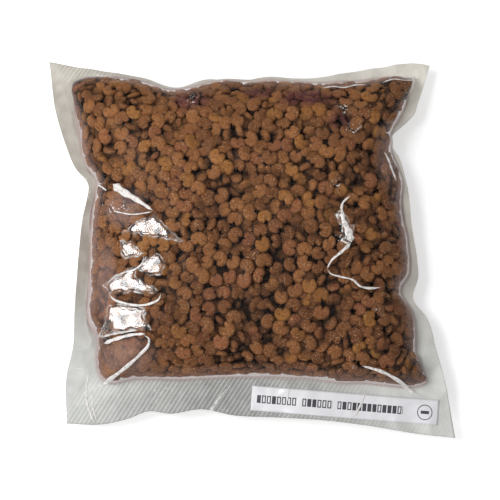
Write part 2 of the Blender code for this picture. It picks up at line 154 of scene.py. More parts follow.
# Ovals in millimetres: middle, half length, half width. Kibble in painted dusky shade, film with
# painted glints where it crumples, and slack film whose veil is haze and painted sheen.
PAINTED_DUSK_PATCHES = (
    (-40, 101, 20, 11), (42, 102, 30, 10), (8, 106, 16, 7), (64, 84, 12, 8),
)
PAINTED_GLINT_PATCHES = (
    (-41, 101, 9, 8), (68, 93, 9, 6), (73, 78, 8, 6), (118, 122, 16, 5), (-92, 22, 12, 9),
    (-60, -104, 14, 3), (-20, -120, 9, 5), (62, -124, 10, 3), (-96, -60, 6, 14), (64, 4, 6, 12),
    (61, 38, 6, 6), (87, -52, 7, 6), (69, -89, 8, 3), (-118, 40, 6, 16), (96, 2, 5, 12),
)
SHEEN_VEILS = (
    (-88, 22, 20, 18), (-86, -82, 28, 20), (-100, -30, 12, 40), (104, -102, 20, 7), (100, 60, 12, 30),
)

# The outline and the skins.
OUTLINE_STEPS = 300
PROFILE_STEPS = 600
SLOPE_STEP = 1e-3
LEAST_BORDER = 0.0025
LEAST_EDGE_HEIGHT = 0.004
FRONT_CLEARANCE = 0.0006
BACK_CLEARANCE = 0.0004
# How far inside the weld, the far corners and the skins the kibble is held.
WELD_MARGIN = 0.0009
CORNER_MARGIN = 0.0060
CORNER_REACH = (0.88, 0.97)
SKIN_MARGIN = 0.0003
# Creases in the border: seed, length and height of each of two ripples.
BORDER_CREASES = ((3, 0.045, 0.0011), (5, 0.016, 0.00045))

# One piece of kibble: ranges as shares of the set size, and the notch's width in radians.
PIECE_SIZES = (0.9, 1.1)
PIECE_THICKNESSES = (0.85, 1.15)
NOTCH_DEPTHS = (0.70, 1.15)
NOTCH_WIDTHS = (0.20, 0.32)
OVALNESS = 0.07
PIECE_STRETCH = (0.93, 1.04)
GROOVE_DEPTH = 0.60
GROOVE_WIDTH = 1.6
POLE_RISE = 0.80
RIM_SHADE = 1.5
# The kibble's layout: pushes and gaps while it settles, and its leans in degrees.
SCATTER_ROUNDS = 45
NEIGHBOUR_PUSH = 0.35
SETTLED_PUSH = 0.3
SETTLED_SPACING = 0.62
STEEP_SHARES = (0.24, 0.4, 0.6)
SLIGHT_LEAN = 19
STEEP_LEANS = (35, 88)
LAYER_MARGIN = 0.40
MARGIN_STEP = 0.35
SKIN_GAP = 0.0004
DEPTH_JITTER = 0.0018
# Pieces on edge along the weld: spacing and shifts as shares of the set spacing, the half chord
# along the weld as a share of a piece, lean in degrees, gap, rises above the weld, and the depth in
# mm that sets their painted shade.
RIM_STEPS = 4000
RIM_SPACING = 0.84
RIM_SHIFTS = (-0.2, 0.2)
RIM_CHORD = 0.42
RIM_LEAN = 9
RIM_GAP = 0.0009
RIM_BULGE = 1.3
RIM_LEAN_ROOM = 0.8
RIM_RISES = (0.0005, 0.0045)
RIM_SHADE_DEPTH = 1.4
CORE_STEPS = 22
CORE_ARC = 0.999
CORE_DEPTH = 0.0115

# The films' grid, and how they cling over the kibble: the tension is in depth over distance squared,
# and the slack gives the shares of the arc between which the cling sets in.
FILM_STEPS = 108
WELD_RING = 0.84
CLING_TENSION = 120.0
CLING_CELL = 0.001
CLING_REACH = 7
CLING_GAP = 0.00016
DEEPEST_CLING = 0.0015
CLING_SAMPLES = 160
POINTS_AT_ONCE = 20000
CLING_SLACK = (1.0, 0.96)
# The films' marks: where the border's haze sets in, the shares of the arc that make up the flank, the
# strength of a veil of haze and painted sheen, and how much of an oval or a streak has its full strength.
BORDER_CLING = 0.85
BORDER_FADE = 0.0040
FLANK = (0.80, 1.0)
SHEEN_VEIL = 0.55
OVAL_CORE = 0.3
STREAK_CORE = 0.2
# Pockets: how far their edges wander and how soft they are, the gap that they leave over the
# skin, the ripple of their facets, and how far they may rise.
POCKET_WANDER = 0.0007
POCKET_WANDER_SIZE = 0.007
POCKET_EDGE = 0.0008
POCKET_CLEARANCE = 0.0003
FAR_OUTSIDE = -10.0
FACET_RIPPLE = 0.00006
FACET_RIPPLE_SIZE = 0.013
HIGHEST_LIFT = 0.0055
TOP_SLACK = 0.0003
FOLD_STEP = 0.0008
FOLD_ARCH = 0.3
FOLD_THICKNESS = 0.0003

# The label: its grid, gap and thickness, and its print in millimetres from its left end and lower edge.
LABEL_GRID = (13, 81)
LABEL_GAP = 0.00025
LABEL_THICKNESS = 0.00012
WORDS = ((4.0, 32.4), (36.0, 57.4), (61.0, 107.5))
LETTER_PITCH = 3.56
LETTER_HALF = (1.42, 2.75)
LINE_HEIGHT = 8.4
STROKE = 0.80
RING_PLACE = (123.2, 8.2)
RING_RADIUS = 5.1
RING_STROKE = 0.30
BAR_HALF = (2.9, 1.1)

# The stage.
WHITE = (1.0, 1.0, 1.0)
KEY_PLACE = (-0.45, 0.11, 0.96)
KEY_SIZE = (0.42, 0.30)
FILL_PLACE = (-0.55, -0.75, 0.60)
FILL_SIZE = (0.4, 0.4)
FLOOR_HALF = 3.0
FLOOR_COLOUR = (0.8, 0.8, 0.8)
FLOOR_LIFT = 0.48


def length(name, description, default):
    """A setting in metres."""
    return FloatProperty(name=name, description=description, default=default, unit="LENGTH")


def share(name, description, default):
    """A setting that is a share of something."""
    return FloatProperty(name=name, description=description, default=default, subtype="FACTOR")


def angle(name, description, degrees):
    """A setting that is an angle."""
    return FloatProperty(name=name, description=description, default=math.radians(degrees), subtype="ANGLE")


def power(name, description, default):
    """A setting in watts."""
    return FloatProperty(name=name, description=description, default=default, unit="POWER")


def colour(name, description, default):
    """A setting that is a colour."""
    return FloatVectorProperty(
        name=name, description=description, default=default, subtype="COLOR", min=0, max=1
    )


class PouchSizes(bpy.types.PropertyGroup):
    """The films and how the filled pack stands."""

    top_width: length("Top width", "Film width along the top edge", 0.280)
    bottom_width: length("Bottom width", "Film width along the bottom edge", 0.2755)
    left_side: length("Left side", "Length of the left edge", 0.264)
    right_side: length("Right side", "Length of the right edge", 0.271)
    side_lean: length("Lean", "How far the bottom edge stands to the right of the top", 0.0155)
    top_left_rise: length("Rise", "How much higher the top left corner is", 0.003)
    height: length("Height", "Thickness of the filled pack", PACK_HEIGHT)
    seam_height: length("Weld height", "Height of the weld", 0.025)
    crown_fullness: FloatProperty(name="Fullness", description="How boxy the front is", default=5.0)
    flat_base: share("Flat base", "Share of the back that lies flat", 0.68)
    corner_droop: length("Corner droop", "How much lower the weld is at a corner", 0.009)
    border_droop: length("Border droop", "How far the border hangs", 0.004)
    border_wave: length("Border wave", "Height of the border's waves", 0.0022)
    border_waves: IntProperty(name="Waves", description="Waves round the border", default=9)
    weld_gap: length("Weld gap", "Gap between the welded films", 0.0003)
    film_thickness: length("Film thickness", "Thickness of each film", 0.00012)


class KibbleSizes(bpy.types.PropertyGroup):
    """The kibble's shape, its layers and its colours."""

    length: length("Length", "Width of one piece", 0.0115)
    thickness: length("Thickness", "Thickness of one piece", 0.0043)
    notch: share("Notch", "Depth of the notch as a share of the radius", 0.54)
    spacing: length("Spacing", "Distance between neighbours", 0.0102)
    layer_depth: length("Layer depth", "How much deeper each layer lies", 0.0034)
    seed: IntProperty(name="Seed", description="Seed of the random layout", default=7)
    tan: colour("Tan", "Light kibble", (0.32, 0.127, 0.041))
    brown: colour("Brown", "Dark kibble", (0.128, 0.045, 0.016))
    rosy: colour("Rosy", "Reddish kibble", (0.24, 0.080, 0.036))
    ochre: colour("Ochre", "Yellowish kibble", (0.36, 0.150, 0.030))
    # Painted shade: the dusky violet of the shaded patches.
    violet_shade: colour("Violet", "Kibble in the dusky patches", (0.075, 0.016, 0.028))
    crumb: colour("Crumb", "Pale specks on the kibble", (0.55, 0.34, 0.17))
    pit: colour("Pit", "Pits in the kibble", (0.050, 0.018, 0.007))
    shade: colour("Shade", "Kibble in the broad darker areas", (0.10, 0.036, 0.014))
    # Painted shade: the colour of pieces deep in the gaps.
    gap: colour("Gap", "Kibble deep in the gaps", (0.012, 0.006, 0.004))


class FilmFinish(bpy.types.PropertyGroup):
    """The films' haze, gloss and pressed ribs."""

    # Border colours, chosen between by painted light and shade over the haze.
    dim: colour("Dim", "Upper border at its dimmest", (0.24, 0.21, 0.175))
    bright: colour("Bright", "Upper border, milkiest", (0.84, 0.80, 0.72))
    cool_dim: colour("Cool dim", "Lower border at its dimmest", (0.27, 0.275, 0.265))
    cool_bright: colour("Cool bright", "Lower border, milkiest", (0.68, 0.69, 0.66))
    # Creased film's whitening and painted highlight.
    crease_and_highlight: colour("Crease", "Colour of creased film", (0.90, 0.86, 0.84))
    # Colour of the flanks' haze and painted sheen.
    mist_and_sheen: colour("Mist", "Haze on the flanks", (0.56, 0.39, 0.36))
    mist_and_sheen_haze: share("Haze on the flanks", "Share of haze near the weld", 0.20)
    food_haze: share("Haze over food", "Share of haze over the kibble", 0.001)
    border_haze: share("Haze at the border", "Share of haze in the weld", 0.80)
    crease_and_highlight_haze: share("Haze in creases", "Whitening where the film is creased", 0.85)
    roughness: share("Roughness", "Of the smooth film", 0.12)
    cling_roughness: share("Cling roughness", "Where the film clings to kibble", 0.42)
    gloss: share("Gloss", "Mirror share of smooth film seen head on", 0.038)
    cling_gloss: share("Cling gloss", "The same where it clings to kibble", 0.002)
    rib_pitch: length("Rib pitch", "Distance between ribs", 0.0027)
    rib_depth: length("Rib depth", "Height of the ribs", 0.0002)
    rib_angle: angle("Rib angle", "Direction of the ribs", 57)


class LabelSizes(bpy.types.PropertyGroup):
    """The paper strip and its plain print."""

    length: length("Length", "Length of the strip", 0.133)
    width: length("Width", "Width of the strip", 0.0175)
    turn: angle("Turn", "Slant against the films' lower edge", -2.42)
    right_margin: length("Right margin", "From the corner of the films", 0.01215)
    top_margin: length("Top margin", "From the corner of the films", 0.0261)
    paper: colour("Paper", "Colour of the paper", (0.74, 0.74, 0.77))
    ink: colour("Ink", "Colour of the print", (0.022, 0.022, 0.030))


class StageSetup(bpy.types.PropertyGroup):
    """The floor, the lamps and the camera."""

    distance: length("Distance", "Camera to pouch", 0.9)
    tilt: angle("Tilt", "Camera's lean from straight down", 7)
    view_width: length("View width", "Width that the picture takes in", 0.3555)
    aim: FloatVectorProperty(
        name="Aim", description="Point the camera looks at", default=(0.0012, -0.0044, 0.03),
        subtype="TRANSLATION",
    )
    ambient: share("Ambient", "Light from all round", 0.44)
    key_power: power("Key lamp", "Power of the left lamp", 6.0)
    fill_power: power("Low lamp", "Power of the low lamp", 3.2)


def smooth_through(knots, at):
    """A curve through (place, value) knots: one cubic between each two, sloped as its neighbours are."""
    places, values = np.array(knots).T
    slopes = np.gradient(values, places)
    index = np.clip(np.searchsorted(places, at, side="right") - 1, 0, len(places) - 2)
    width = places[index + 1] - places[index]
    t = (at - places[index]) / width
    return (
        (1 + 2 * t) * (1 - t) ** 2 * values[index]
        + t * (1 - t) ** 2 * width * slopes[index]
        + t * t * (3 - 2 * t) * values[index + 1]
        + t * t * (t - 1) * width * slopes[index + 1]
    )


def smooth_step(low, high, value):
    """Rises from 0 at low to 1 at high as 3t^2 - 2t^3."""
    t = np.clip((value - low) / (high - low), 0, 1)
    return t * t * (3 - 2 * t)


def run_length(points):
    """How far along a line of points each of them lies."""
    return np.concatenate([[0], np.cumsum(np.hypot(*np.diff(points, axis=0).T))])


def unit(vectors):
    return vectors / np.linalg.norm(vectors, axis=-1, keepdims=True)


def along_sides(corners, sides, steps=None):
    """Points drawn in from the four straight sides, at even steps or at each side's own knots."""
    points = []
    for number, knots in enumerate(sides):
        start, end = corners[number], corners[(number + 1) % 4]
        ends = knots[0][0], knots[-1][0]
        part = np.array(knots)[:, 0] if steps is None else np.linspace(*ends, steps, endpoint=False)
        run = end - start
        inward = np.array((run[1], -run[0])) / np.hypot(*run)
        points.append(start + part[:, None] * run + smooth_through(knots, part)[:, None] * inward)
    return np.concatenate(points)


def from_middle(points):
    """Direction and distance of points from the middle, seen from above."""
    return np.arctan2(points[..., 1], points[..., 0]), np.hypot(points[..., 0], points[..., 1])


def by_direction(points):
    """Direction and distance of points from the origin, in order of direction, over three turns."""
    turn, distance = from_middle(points)
    order = np.argsort(turn)
    turn, distance = turn[order], distance[order]
    return np.column_stack([np.concatenate([turn - TURN, turn, turn + TURN]), np.tile(distance, 3)])


def one_turn(turn):
    """The same direction between minus and plus half a turn."""
    return np.mod(turn + math.pi, TURN) - math.pi


def polar(turn, distance, height):
    return np.stack([distance * np.cos(turn), distance * np.sin(turn), height], axis=-1)


def ripple(seed, x, y, size, waves=9):
    """A smooth random field between about -1 and 1: a sum of plane waves of about one length."""
    draw = np.random.default_rng(seed)
    total = 0.0
    for _ in range(waves):
        heading, phase, stretch = draw.uniform(0, TURN), draw.uniform(0, TURN), draw.uniform(0.6, 1.5)
        along = x * math.cos(heading) + y * math.sin(heading)
        total = total + np.sin(TURN / size * stretch * along + phase)
    return total / math.sqrt(waves)


def border_rumple(x, y, part):
    """Height of the creases in the border: one less the size of a ripple, sharp at its crests."""
    creases = sum(height * (1 - np.abs(ripple(seed, x, y, size))) for seed, size, height in BORDER_CREASES)
    return smooth_step(0, 0.3, part) * creases


class Form:
    """The pouch's outline and its two skins, by direction from the middle and share of the way out."""

    def __init__(self, sizes):
        self.sizes = sizes
        corners = np.array([
            (-sizes.top_width / 2 - sizes.side_lean, sizes.top_left_rise),
            (sizes.top_width / 2 - sizes.side_lean, 0),
            (sizes.bottom_width / 2, -sizes.right_side),
            (-sizes.bottom_width / 2, sizes.top_left_rise - sizes.left_side),
        ])
        outline = along_sides(corners, EDGE_DRAWS, OUTLINE_STEPS)
        middle = (outline.min(axis=0) + outline.max(axis=0)) / 2
        self.corners = corners - middle
        self.film_knots = by_direction(outline - middle)
        self.fill_knots = by_direction(along_sides(self.corners, FILL_MARGINS))
        around = self.fill_radius(np.linspace(-math.pi, math.pi, OUTLINE_STEPS))
        self.mean_radius, self.nearest, self.farthest = around.mean(), around.min(), around.max()
        rise = sizes.height - sizes.seam_height
        self.front = Skin(self, 1, self.crown_rise, rise, sizes.height - FRONT_CLEARANCE)
        self.back = Skin(self, -1, self.base_rise, sizes.seam_height, BACK_CLEARANCE)

    def fill_radius(self, turn):
        """Distance from the middle to the weld round the kibble."""
        return smooth_through(self.fill_knots, one_turn(turn))

    def kibble_reach(self, turn):
        """Where the kibble ends: a little inside the weld, and further inside at the far corners."""
        weld = self.fill_radius(turn)
        return weld - WELD_MARGIN - CORNER_MARGIN * smooth_step(*CORNER_REACH, weld / self.farthest)

    def hold(self, points):
        """Points beyond the kibble's reach or the skins, brought back inwards and then in height."""
        turn, far = from_middle(points)
        kept = np.minimum(far, self.kibble_reach(turn))
        part, seam = kept / self.fill_radius(turn), self.seam(turn)
        bottom, top = (
            seam + (skin.level - seam) * skin.rise(part) - skin.side * SKIN_MARGIN
            for skin in (self.back, self.front)
        )
        return polar(turn, kept, np.clip(points[..., 2], bottom, top))

    def film_radius(self, turn):
        """Distance from the middle to the films' cut edge."""
        edge = np.interp(one_turn(turn), *self.film_knots.T)
        return np.maximum(edge, self.fill_radius(turn) + LEAST_BORDER)

    def crown_rise(self, part):
        """sqrt(1 - part^fullness): nearly level in the middle, upright at the weld."""
        return np.sqrt(1 - part**self.sizes.crown_fullness)

    def base_rise(self, part):
        """1 over the flat base, then a quarter of an ellipse down to 0 at the weld."""
        flat = self.sizes.flat_base
        return np.sqrt(1 - (np.clip(part - flat, 0, None) / (1 - flat)) ** 2)

    def seam(self, turn):
        """Height of the weld: lower by the corner droop times the square of how far out it lies."""
        reach = (self.fill_radius(turn) - self.nearest) / (self.farthest - self.nearest)
        return self.sizes.seam_height - self.sizes.corner_droop * reach**2

    def edge(self, turn):
        """Height of the cut edge: the weld's, less the droop, plus a sine round the pack."""
        wave = self.sizes.border_wave * np.sin(self.sizes.border_waves * turn)
        return np.maximum(self.seam(turn) - self.sizes.border_droop + wave, LEAST_EDGE_HEIGHT)

    def border(self, turn, part, side):
        """Inner face of a film across the border: straight from the weld to the edge, and rumpled."""
        seam, edge = self.seam(turn), self.edge(turn)
        distance = self.fill_radius(turn) + (self.film_radius(turn) - self.fill_radius(turn)) * part
        flat = polar(turn, distance, seam + (edge - seam) * part + side * self.sizes.weld_gap / 2)
        flat[..., 2] += border_rumple(flat[..., 0], flat[..., 1], part)
        return flat

    def front_at(self, place):
        """Height of the front film's base surface at points seen from above, crown or border."""
        turn, distance = from_middle(place)
        fill = self.fill_radius(turn)
        arc = np.interp(distance / fill, self.front.out, self.front.arc)
        part = np.clip((distance - fill) / (self.film_radius(turn) - fill), 0, 1)
        return np.where(part > 0, self.border(turn, part, 1)[..., 2], self.front.points(turn, arc)[..., 2])


class Skin:
    """The inner face of one film over the kibble: side 1 for the front and -1 for the back.

    Its profile runs from the middle, at its level, to the weld. It is listed as shares of the arc,
    of the distance and of the rise, and its stretch is its arc over the mean radius.
    """

    def __init__(self, form, side, rise, height, level):
        self.form, self.side, self.rise, self.level = form, side, rise, level
        self.out = np.sin(np.linspace(0, math.pi / 2, PROFILE_STEPS))
        self.lift = rise(self.out)
        arc = run_length(np.column_stack([self.out * form.mean_radius, self.lift * height]))
        self.arc, self.stretch = arc / arc[-1], arc[-1] / form.mean_radius

    def at(self, arc):
        """Shares of the distance and of the rise at a share of the arc."""
        return np.interp(arc, self.arc, self.out), np.interp(arc, self.arc, self.lift)

    def reach(self, turn):
        """Length of the unrolled profile in a direction."""
        return self.form.fill_radius(turn) * self.stretch

    def points(self, turn, arc):
        """Distance and height from the profile, between the weld and the level."""
        out, lift = self.at(arc)
        seam = self.form.seam(turn) + self.side * self.form.sizes.weld_gap / 2
        return polar(turn, self.form.fill_radius(turn) * out, seam + (self.level - seam) * lift)

    def frame(self, turn, arc):
        """Position, outward normal and two tangents, from differences along the skin's two measures."""
        arc = np.clip(arc, 2 * SLOPE_STEP, 1 - 2 * SLOPE_STEP)
        along = self.points(turn, arc + SLOPE_STEP) - self.points(turn, arc - SLOPE_STEP)
        across = self.points(turn + SLOPE_STEP, arc) - self.points(turn - SLOPE_STEP, arc)
        normal, along = unit(self.side * np.cross(along, across)), unit(along)
        return self.points(turn, arc), normal, along, np.cross(normal, along)

    def beneath(self, points):
        """Places on the unrolled skin, and depths below it, of points inside the pouch.

        The skin's profile in the point's direction is a line of samples: the nearest sample gives
        the place, and the distance to the skin's tangent there gives the depth.
        """
        turn, far = from_middle(points)
        arc = np.linspace(0, 1, CLING_SAMPLES)
        part, lift = self.at(arc)
        radius, seam = self.form.fill_radius(turn)[:, None], self.form.seam(turn)[:, None]
        out = far[:, None] - radius * part
        up = points[:, 2:] - seam - (self.level - seam) * lift
        nearest = np.argmin(out**2 + up**2, axis=1)[:, None]
        run = radius * np.gradient(part)[nearest]
        climb = (self.level - seam) * np.gradient(lift)[nearest]
        out, up = np.take_along_axis(out, nearest, 1), np.take_along_axis(up, nearest, 1)
        depth = self.side * (out * climb - up * run) / np.hypot(run, climb)
        reach = (arc[nearest] * radius * self.stretch)[:, 0]
        return np.column_stack([reach * np.cos(turn), reach * np.sin(turn)]), depth[:, 0]

    def sink(self, pieces, turn, arc):
        """How far the skin sinks between the kibble, at points given by direction and arc.

        The film hangs over every point of the kibble as an upside-down parabola, depth plus tension
        times the square of the distance, and lies as high as the highest of them. That is worked
        out on a grid of cells, along its rows and then its columns. Softening twice rounds the valleys.
        """
        reach = self.form.farthest * self.stretch + 0.01
        size = int(2 * reach / CLING_CELL) + 1
        field = np.full((size, size), DEEPEST_CLING)
        for piece in pieces:
            samples = mesh_samples(piece)
            for part in np.array_split(samples, len(samples) // POINTS_AT_ONCE + 1):
                place, depth = self.beneath(part)
                cell = ((place + reach) / CLING_CELL).astype(int)
                np.minimum.at(field, (cell[:, 1], cell[:, 0]), np.clip(depth, 0, DEEPEST_CLING))
        for axis in (0, 1):
            shifts = range(-CLING_REACH, CLING_REACH + 1)
            raised = [np.roll(field, s, axis) + CLING_TENSION * (s * CLING_CELL) ** 2 for s in shifts]
            field = np.min(raised, axis=0)
        for axis in (0, 1, 0, 1):
            field = (np.roll(field, 1, axis) + 2 * field + np.roll(field, -1, axis)) / 4
        far = self.form.fill_radius(turn) * arc * self.stretch
        column, row = ((far * way(turn) + reach) / CLING_CELL - 0.5 for way in (np.cos, np.sin))
        c, r = column.astype(int), row.astype(int)
        fc, fr = column - c, row - r
        near, next_row = (field[n, c] * (1 - fc) + field[n, c + 1] * fc for n in (r, r + 1))
        return near * (1 - fr) + next_row * fr - CLING_GAP


def new_piece(name, points, faces, finish, replaces, attributes=()):
    """A mesh object from arrays of points and of faces, one array for each number of corners."""
    mesh = bpy.data.meshes.new(name)
    corners = np.concatenate([f.ravel() for f in faces]).astype(np.int32)
    sizes = np.concatenate([np.full(len(f), f.shape[1]) for f in faces])
    starts = (np.cumsum(sizes) - sizes).astype(np.int32)
    mesh.vertices.add(points.size // 3)
    mesh.vertices.foreach_set("co", points.astype(np.float32).ravel())
    mesh.loops.add(len(corners))
    mesh.loops.foreach_set("vertex_index", corners)
    mesh.polygons.add(len(sizes))
    mesh.polygons.foreach_set("loop_start", starts)
    mesh.update(calc_edges=True)
    for label, values in attributes:
        layer = mesh.attributes.new(label, "FLOAT", "POINT")
        layer.data.foreach_set("value", values.astype(np.float32).ravel())
    mesh.shade_smooth()
    mesh.materials.append(finish)
    piece = bpy.data.objects.new(name, mesh)
    bpy.context.scene.collection.objects.link(piece)
    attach(piece, "root")
    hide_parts(replaces)
    return piece


def grid_faces(rows, columns, flip=False):
    """Quads of a grid whose points are numbered along its rows."""
    first = (np.arange(rows - 1)[:, None] * columns + np.arange(columns - 1)).ravel()
    quads = np.column_stack([first, first + 1, first + columns + 1, first + columns])
    return quads[:, ::-1] if flip else quads


def thicken(piece, thickness):
    """Gives a sheet its thickness, on the side its faces point to."""
    solid = piece.modifiers.new("thickness", "SOLIDIFY")
    solid.thickness = thickness
    solid.offset = 1.0


def math_node(operation, reflected=False):
    """A method that adds a Math node for one operation, or for an operator's reflected form."""

    def method(self, *others):
        values = (*others, self) if reflected else (self, *others)
        return self.finish.node("ShaderNodeMath", {"operation": operation}, dict(enumerate(values)))

    return method


class Value:
    """A shader socket that takes part in Python expressions, each of which adds its Math node."""

    def __init__(self, finish, socket):
        self.finish = finish
        self.socket = socket

    __add__, __radd__ = math_node("ADD"), math_node("ADD", reflected=True)
    __sub__, __rsub__ = math_node("SUBTRACT"), math_node("SUBTRACT", reflected=True)
    __mul__, __rmul__ = math_node("MULTIPLY"), math_node("MULTIPLY", reflected=True)
    __truediv__, __pow__, __abs__ = math_node("DIVIDE"), math_node("POWER"), math_node("ABSOLUTE")
    __lt__, __gt__ = math_node("LESS_THAN"), math_node("GREATER_THAN")
    sine, whole, part = math_node("SINE"), math_node("FLOOR"), math_node("FRACT")
    larger, smaller = math_node("MAXIMUM"), math_node("MINIMUM")

    def held(self):
        """The value held between 0 and 1."""
        return self.larger(0.0).smaller(1.0)

    def ramp(self, low, high):
        """0 at low, 1 at high, and smooth between."""
        inputs = {0: self, 1: low, 2: high, 3: 0.0, 4: 1.0}
        return self.finish.node("ShaderNodeMapRange", {"interpolation_type": "SMOOTHSTEP"}, inputs)


class Finish:
    """One material and the nodes that make it."""

    def __init__(self, name):
        self.material = bpy.data.materials.new(name)
        self.material.use_nodes = True
        self.tree = self.material.node_tree
        self.tree.nodes.clear()

    def node(self, kind, settings=None, inputs=None, output=0):
        """A node of that kind, its settings made first, and then its sockets' values and links."""
        made = self.tree.nodes.new(kind)
        for key, value in (settings or {}).items():
            setattr(made, key, value)
        for key, value in (inputs or {}).items():
            if isinstance(value, Value):
                self.tree.links.new(value.socket, made.inputs[key])
            elif made.inputs[key].type == "RGBA":
                made.inputs[key].default_value = (*value[:3], 1.0)
            else:
                made.inputs[key].default_value = value
        return Value(self, made.outputs[output])

    def attribute(self, name):
        return self.node("ShaderNodeAttribute", {"attribute_name": name}, output=2)

    def coordinates(self):
        """Object coordinates, in metres."""
        return self.node("ShaderNodeTexCoord", output=3)

    def split(self, vector):
        """The three values of a vector."""
        return [self.node("ShaderNodeSeparateXYZ", inputs={0: vector}, output=n) for n in range(3)]

    def noise(self, size, detail=2.0, roughness=0.5):
        """Noise between 0 and 1 whose patches are about that many metres across."""
        inputs = {"Vector": self.coordinates(), "Scale": 1 / size, "Detail": detail, "Roughness": roughness}
        return self.node("ShaderNodeTexNoise", {"noise_dimensions": "3D"}, inputs)

    def blend(self, factor, first, second):
        """A mix of two colours."""
        inputs = {0: factor, 6: first, 7: second}
        return self.node("ShaderNodeMix", {"data_type": "RGBA"}, inputs, output=2)

    def bump(self, height, distance):
        return self.node("ShaderNodeBump", inputs={"Height": height, "Distance": distance, "Strength": 1.0})

    def principled(self, **inputs):
        """A Principled shader; an underscore in a socket's name stands for a space."""
        named = {key.replace("_", " "): value for key, value in inputs.items()}
        return self.node("ShaderNodeBsdfPrincipled", inputs=named)

    def mixed(self, factor, first, second):
        """A Mix Shader."""
        return self.node("ShaderNodeMixShader", inputs={0: factor, 1: first, 2: second})

    def done(self, shader):
        """The material, with this shader on its output."""
        out = self.tree.nodes.new("ShaderNodeOutputMaterial")
        self.tree.links.new(shader.socket, out.inputs[0])
        return self.material


def kibble_finish(kibble):
    """Baked meal: each piece has its own tone, mottled and pitted, with a rough matt face.

    The pieces are painted lighter towards the top of the pouch and darker towards its right, as a
    painted fall of light, painted shade darkens them to near black by their depth and at their rims,
    and dusky violet painted shade lies over them in some patches.
    """
    finish = Finish("baked_kibble")
    tone, toast = finish.attribute("tone"), finish.attribute("toast")
    grain = finish.noise(0.0013, 3.0, 0.7)
    mottle = finish.noise(0.0042)
    x, y, _ = finish.split(finish.coordinates())
    # Random tone and mottle plus a painted fall of light: lighter towards the top, darker towards the right.
    tone_and_painted_light = tone * 0.8 + (mottle - 0.5) * 0.7 + y * 2.2 - x * 0.8
    paint = finish.blend(tone_and_painted_light.held(), kibble.brown, kibble.tan)
    paint = finish.blend((1 - toast.ramp(0.05, 0.22)) * 0.6, paint, kibble.rosy)
    paint = finish.blend((toast.ramp(0.86, 1.0) * (mottle * 1.6)).held() * 0.75, paint, kibble.ochre)
    paint = finish.blend((1 - grain.ramp(0.34, 0.50)) * 0.75, paint, kibble.pit)
    specks = finish.noise(0.0009, 1.0).ramp(0.60, 0.70)
    paint = finish.blend(specks * 0.70, paint, kibble.crumb)
    # Painted shade: dusky violet over the pieces in some patches near the top.
    painted_dusk = finish.attribute("painted_dusk") * (0.6 + mottle.ramp(0.40, 0.60) * 0.4)
    paint = finish.blend(painted_dusk.held() * 0.95, paint, kibble.violet_shade)
    paint = finish.blend(finish.noise(0.03, 1.0).ramp(0.35, 0.65) * 0.22, paint, kibble.shade)
    # Painted shade: pieces darken towards the gap colour by their depth below the skin and at their rims.
    paint = finish.blend(finish.attribute("shade_depth").ramp(1.6, 8.5) * 0.92, paint, kibble.gap)
    relief = finish.bump(grain + mottle * 0.5, 0.0007)
    matt = finish.principled(Base_Color=paint, Roughness=0.75, Specular_IOR_Level=0.12, Normal=relief)
    return finish.done(matt)


def painted_shade_core_finish():
    """Painted shade: a dark sheet that stands for the shadowed kibble between the inner pieces."""
    finish = Finish("inner_shadow")
    paint = finish.blend(finish.noise(0.004), (0.020, 0.011, 0.006), (0.055, 0.028, 0.014))
    return finish.done(finish.principled(Base_Color=paint, Roughness=0.9, Specular_IOR_Level=0.1))


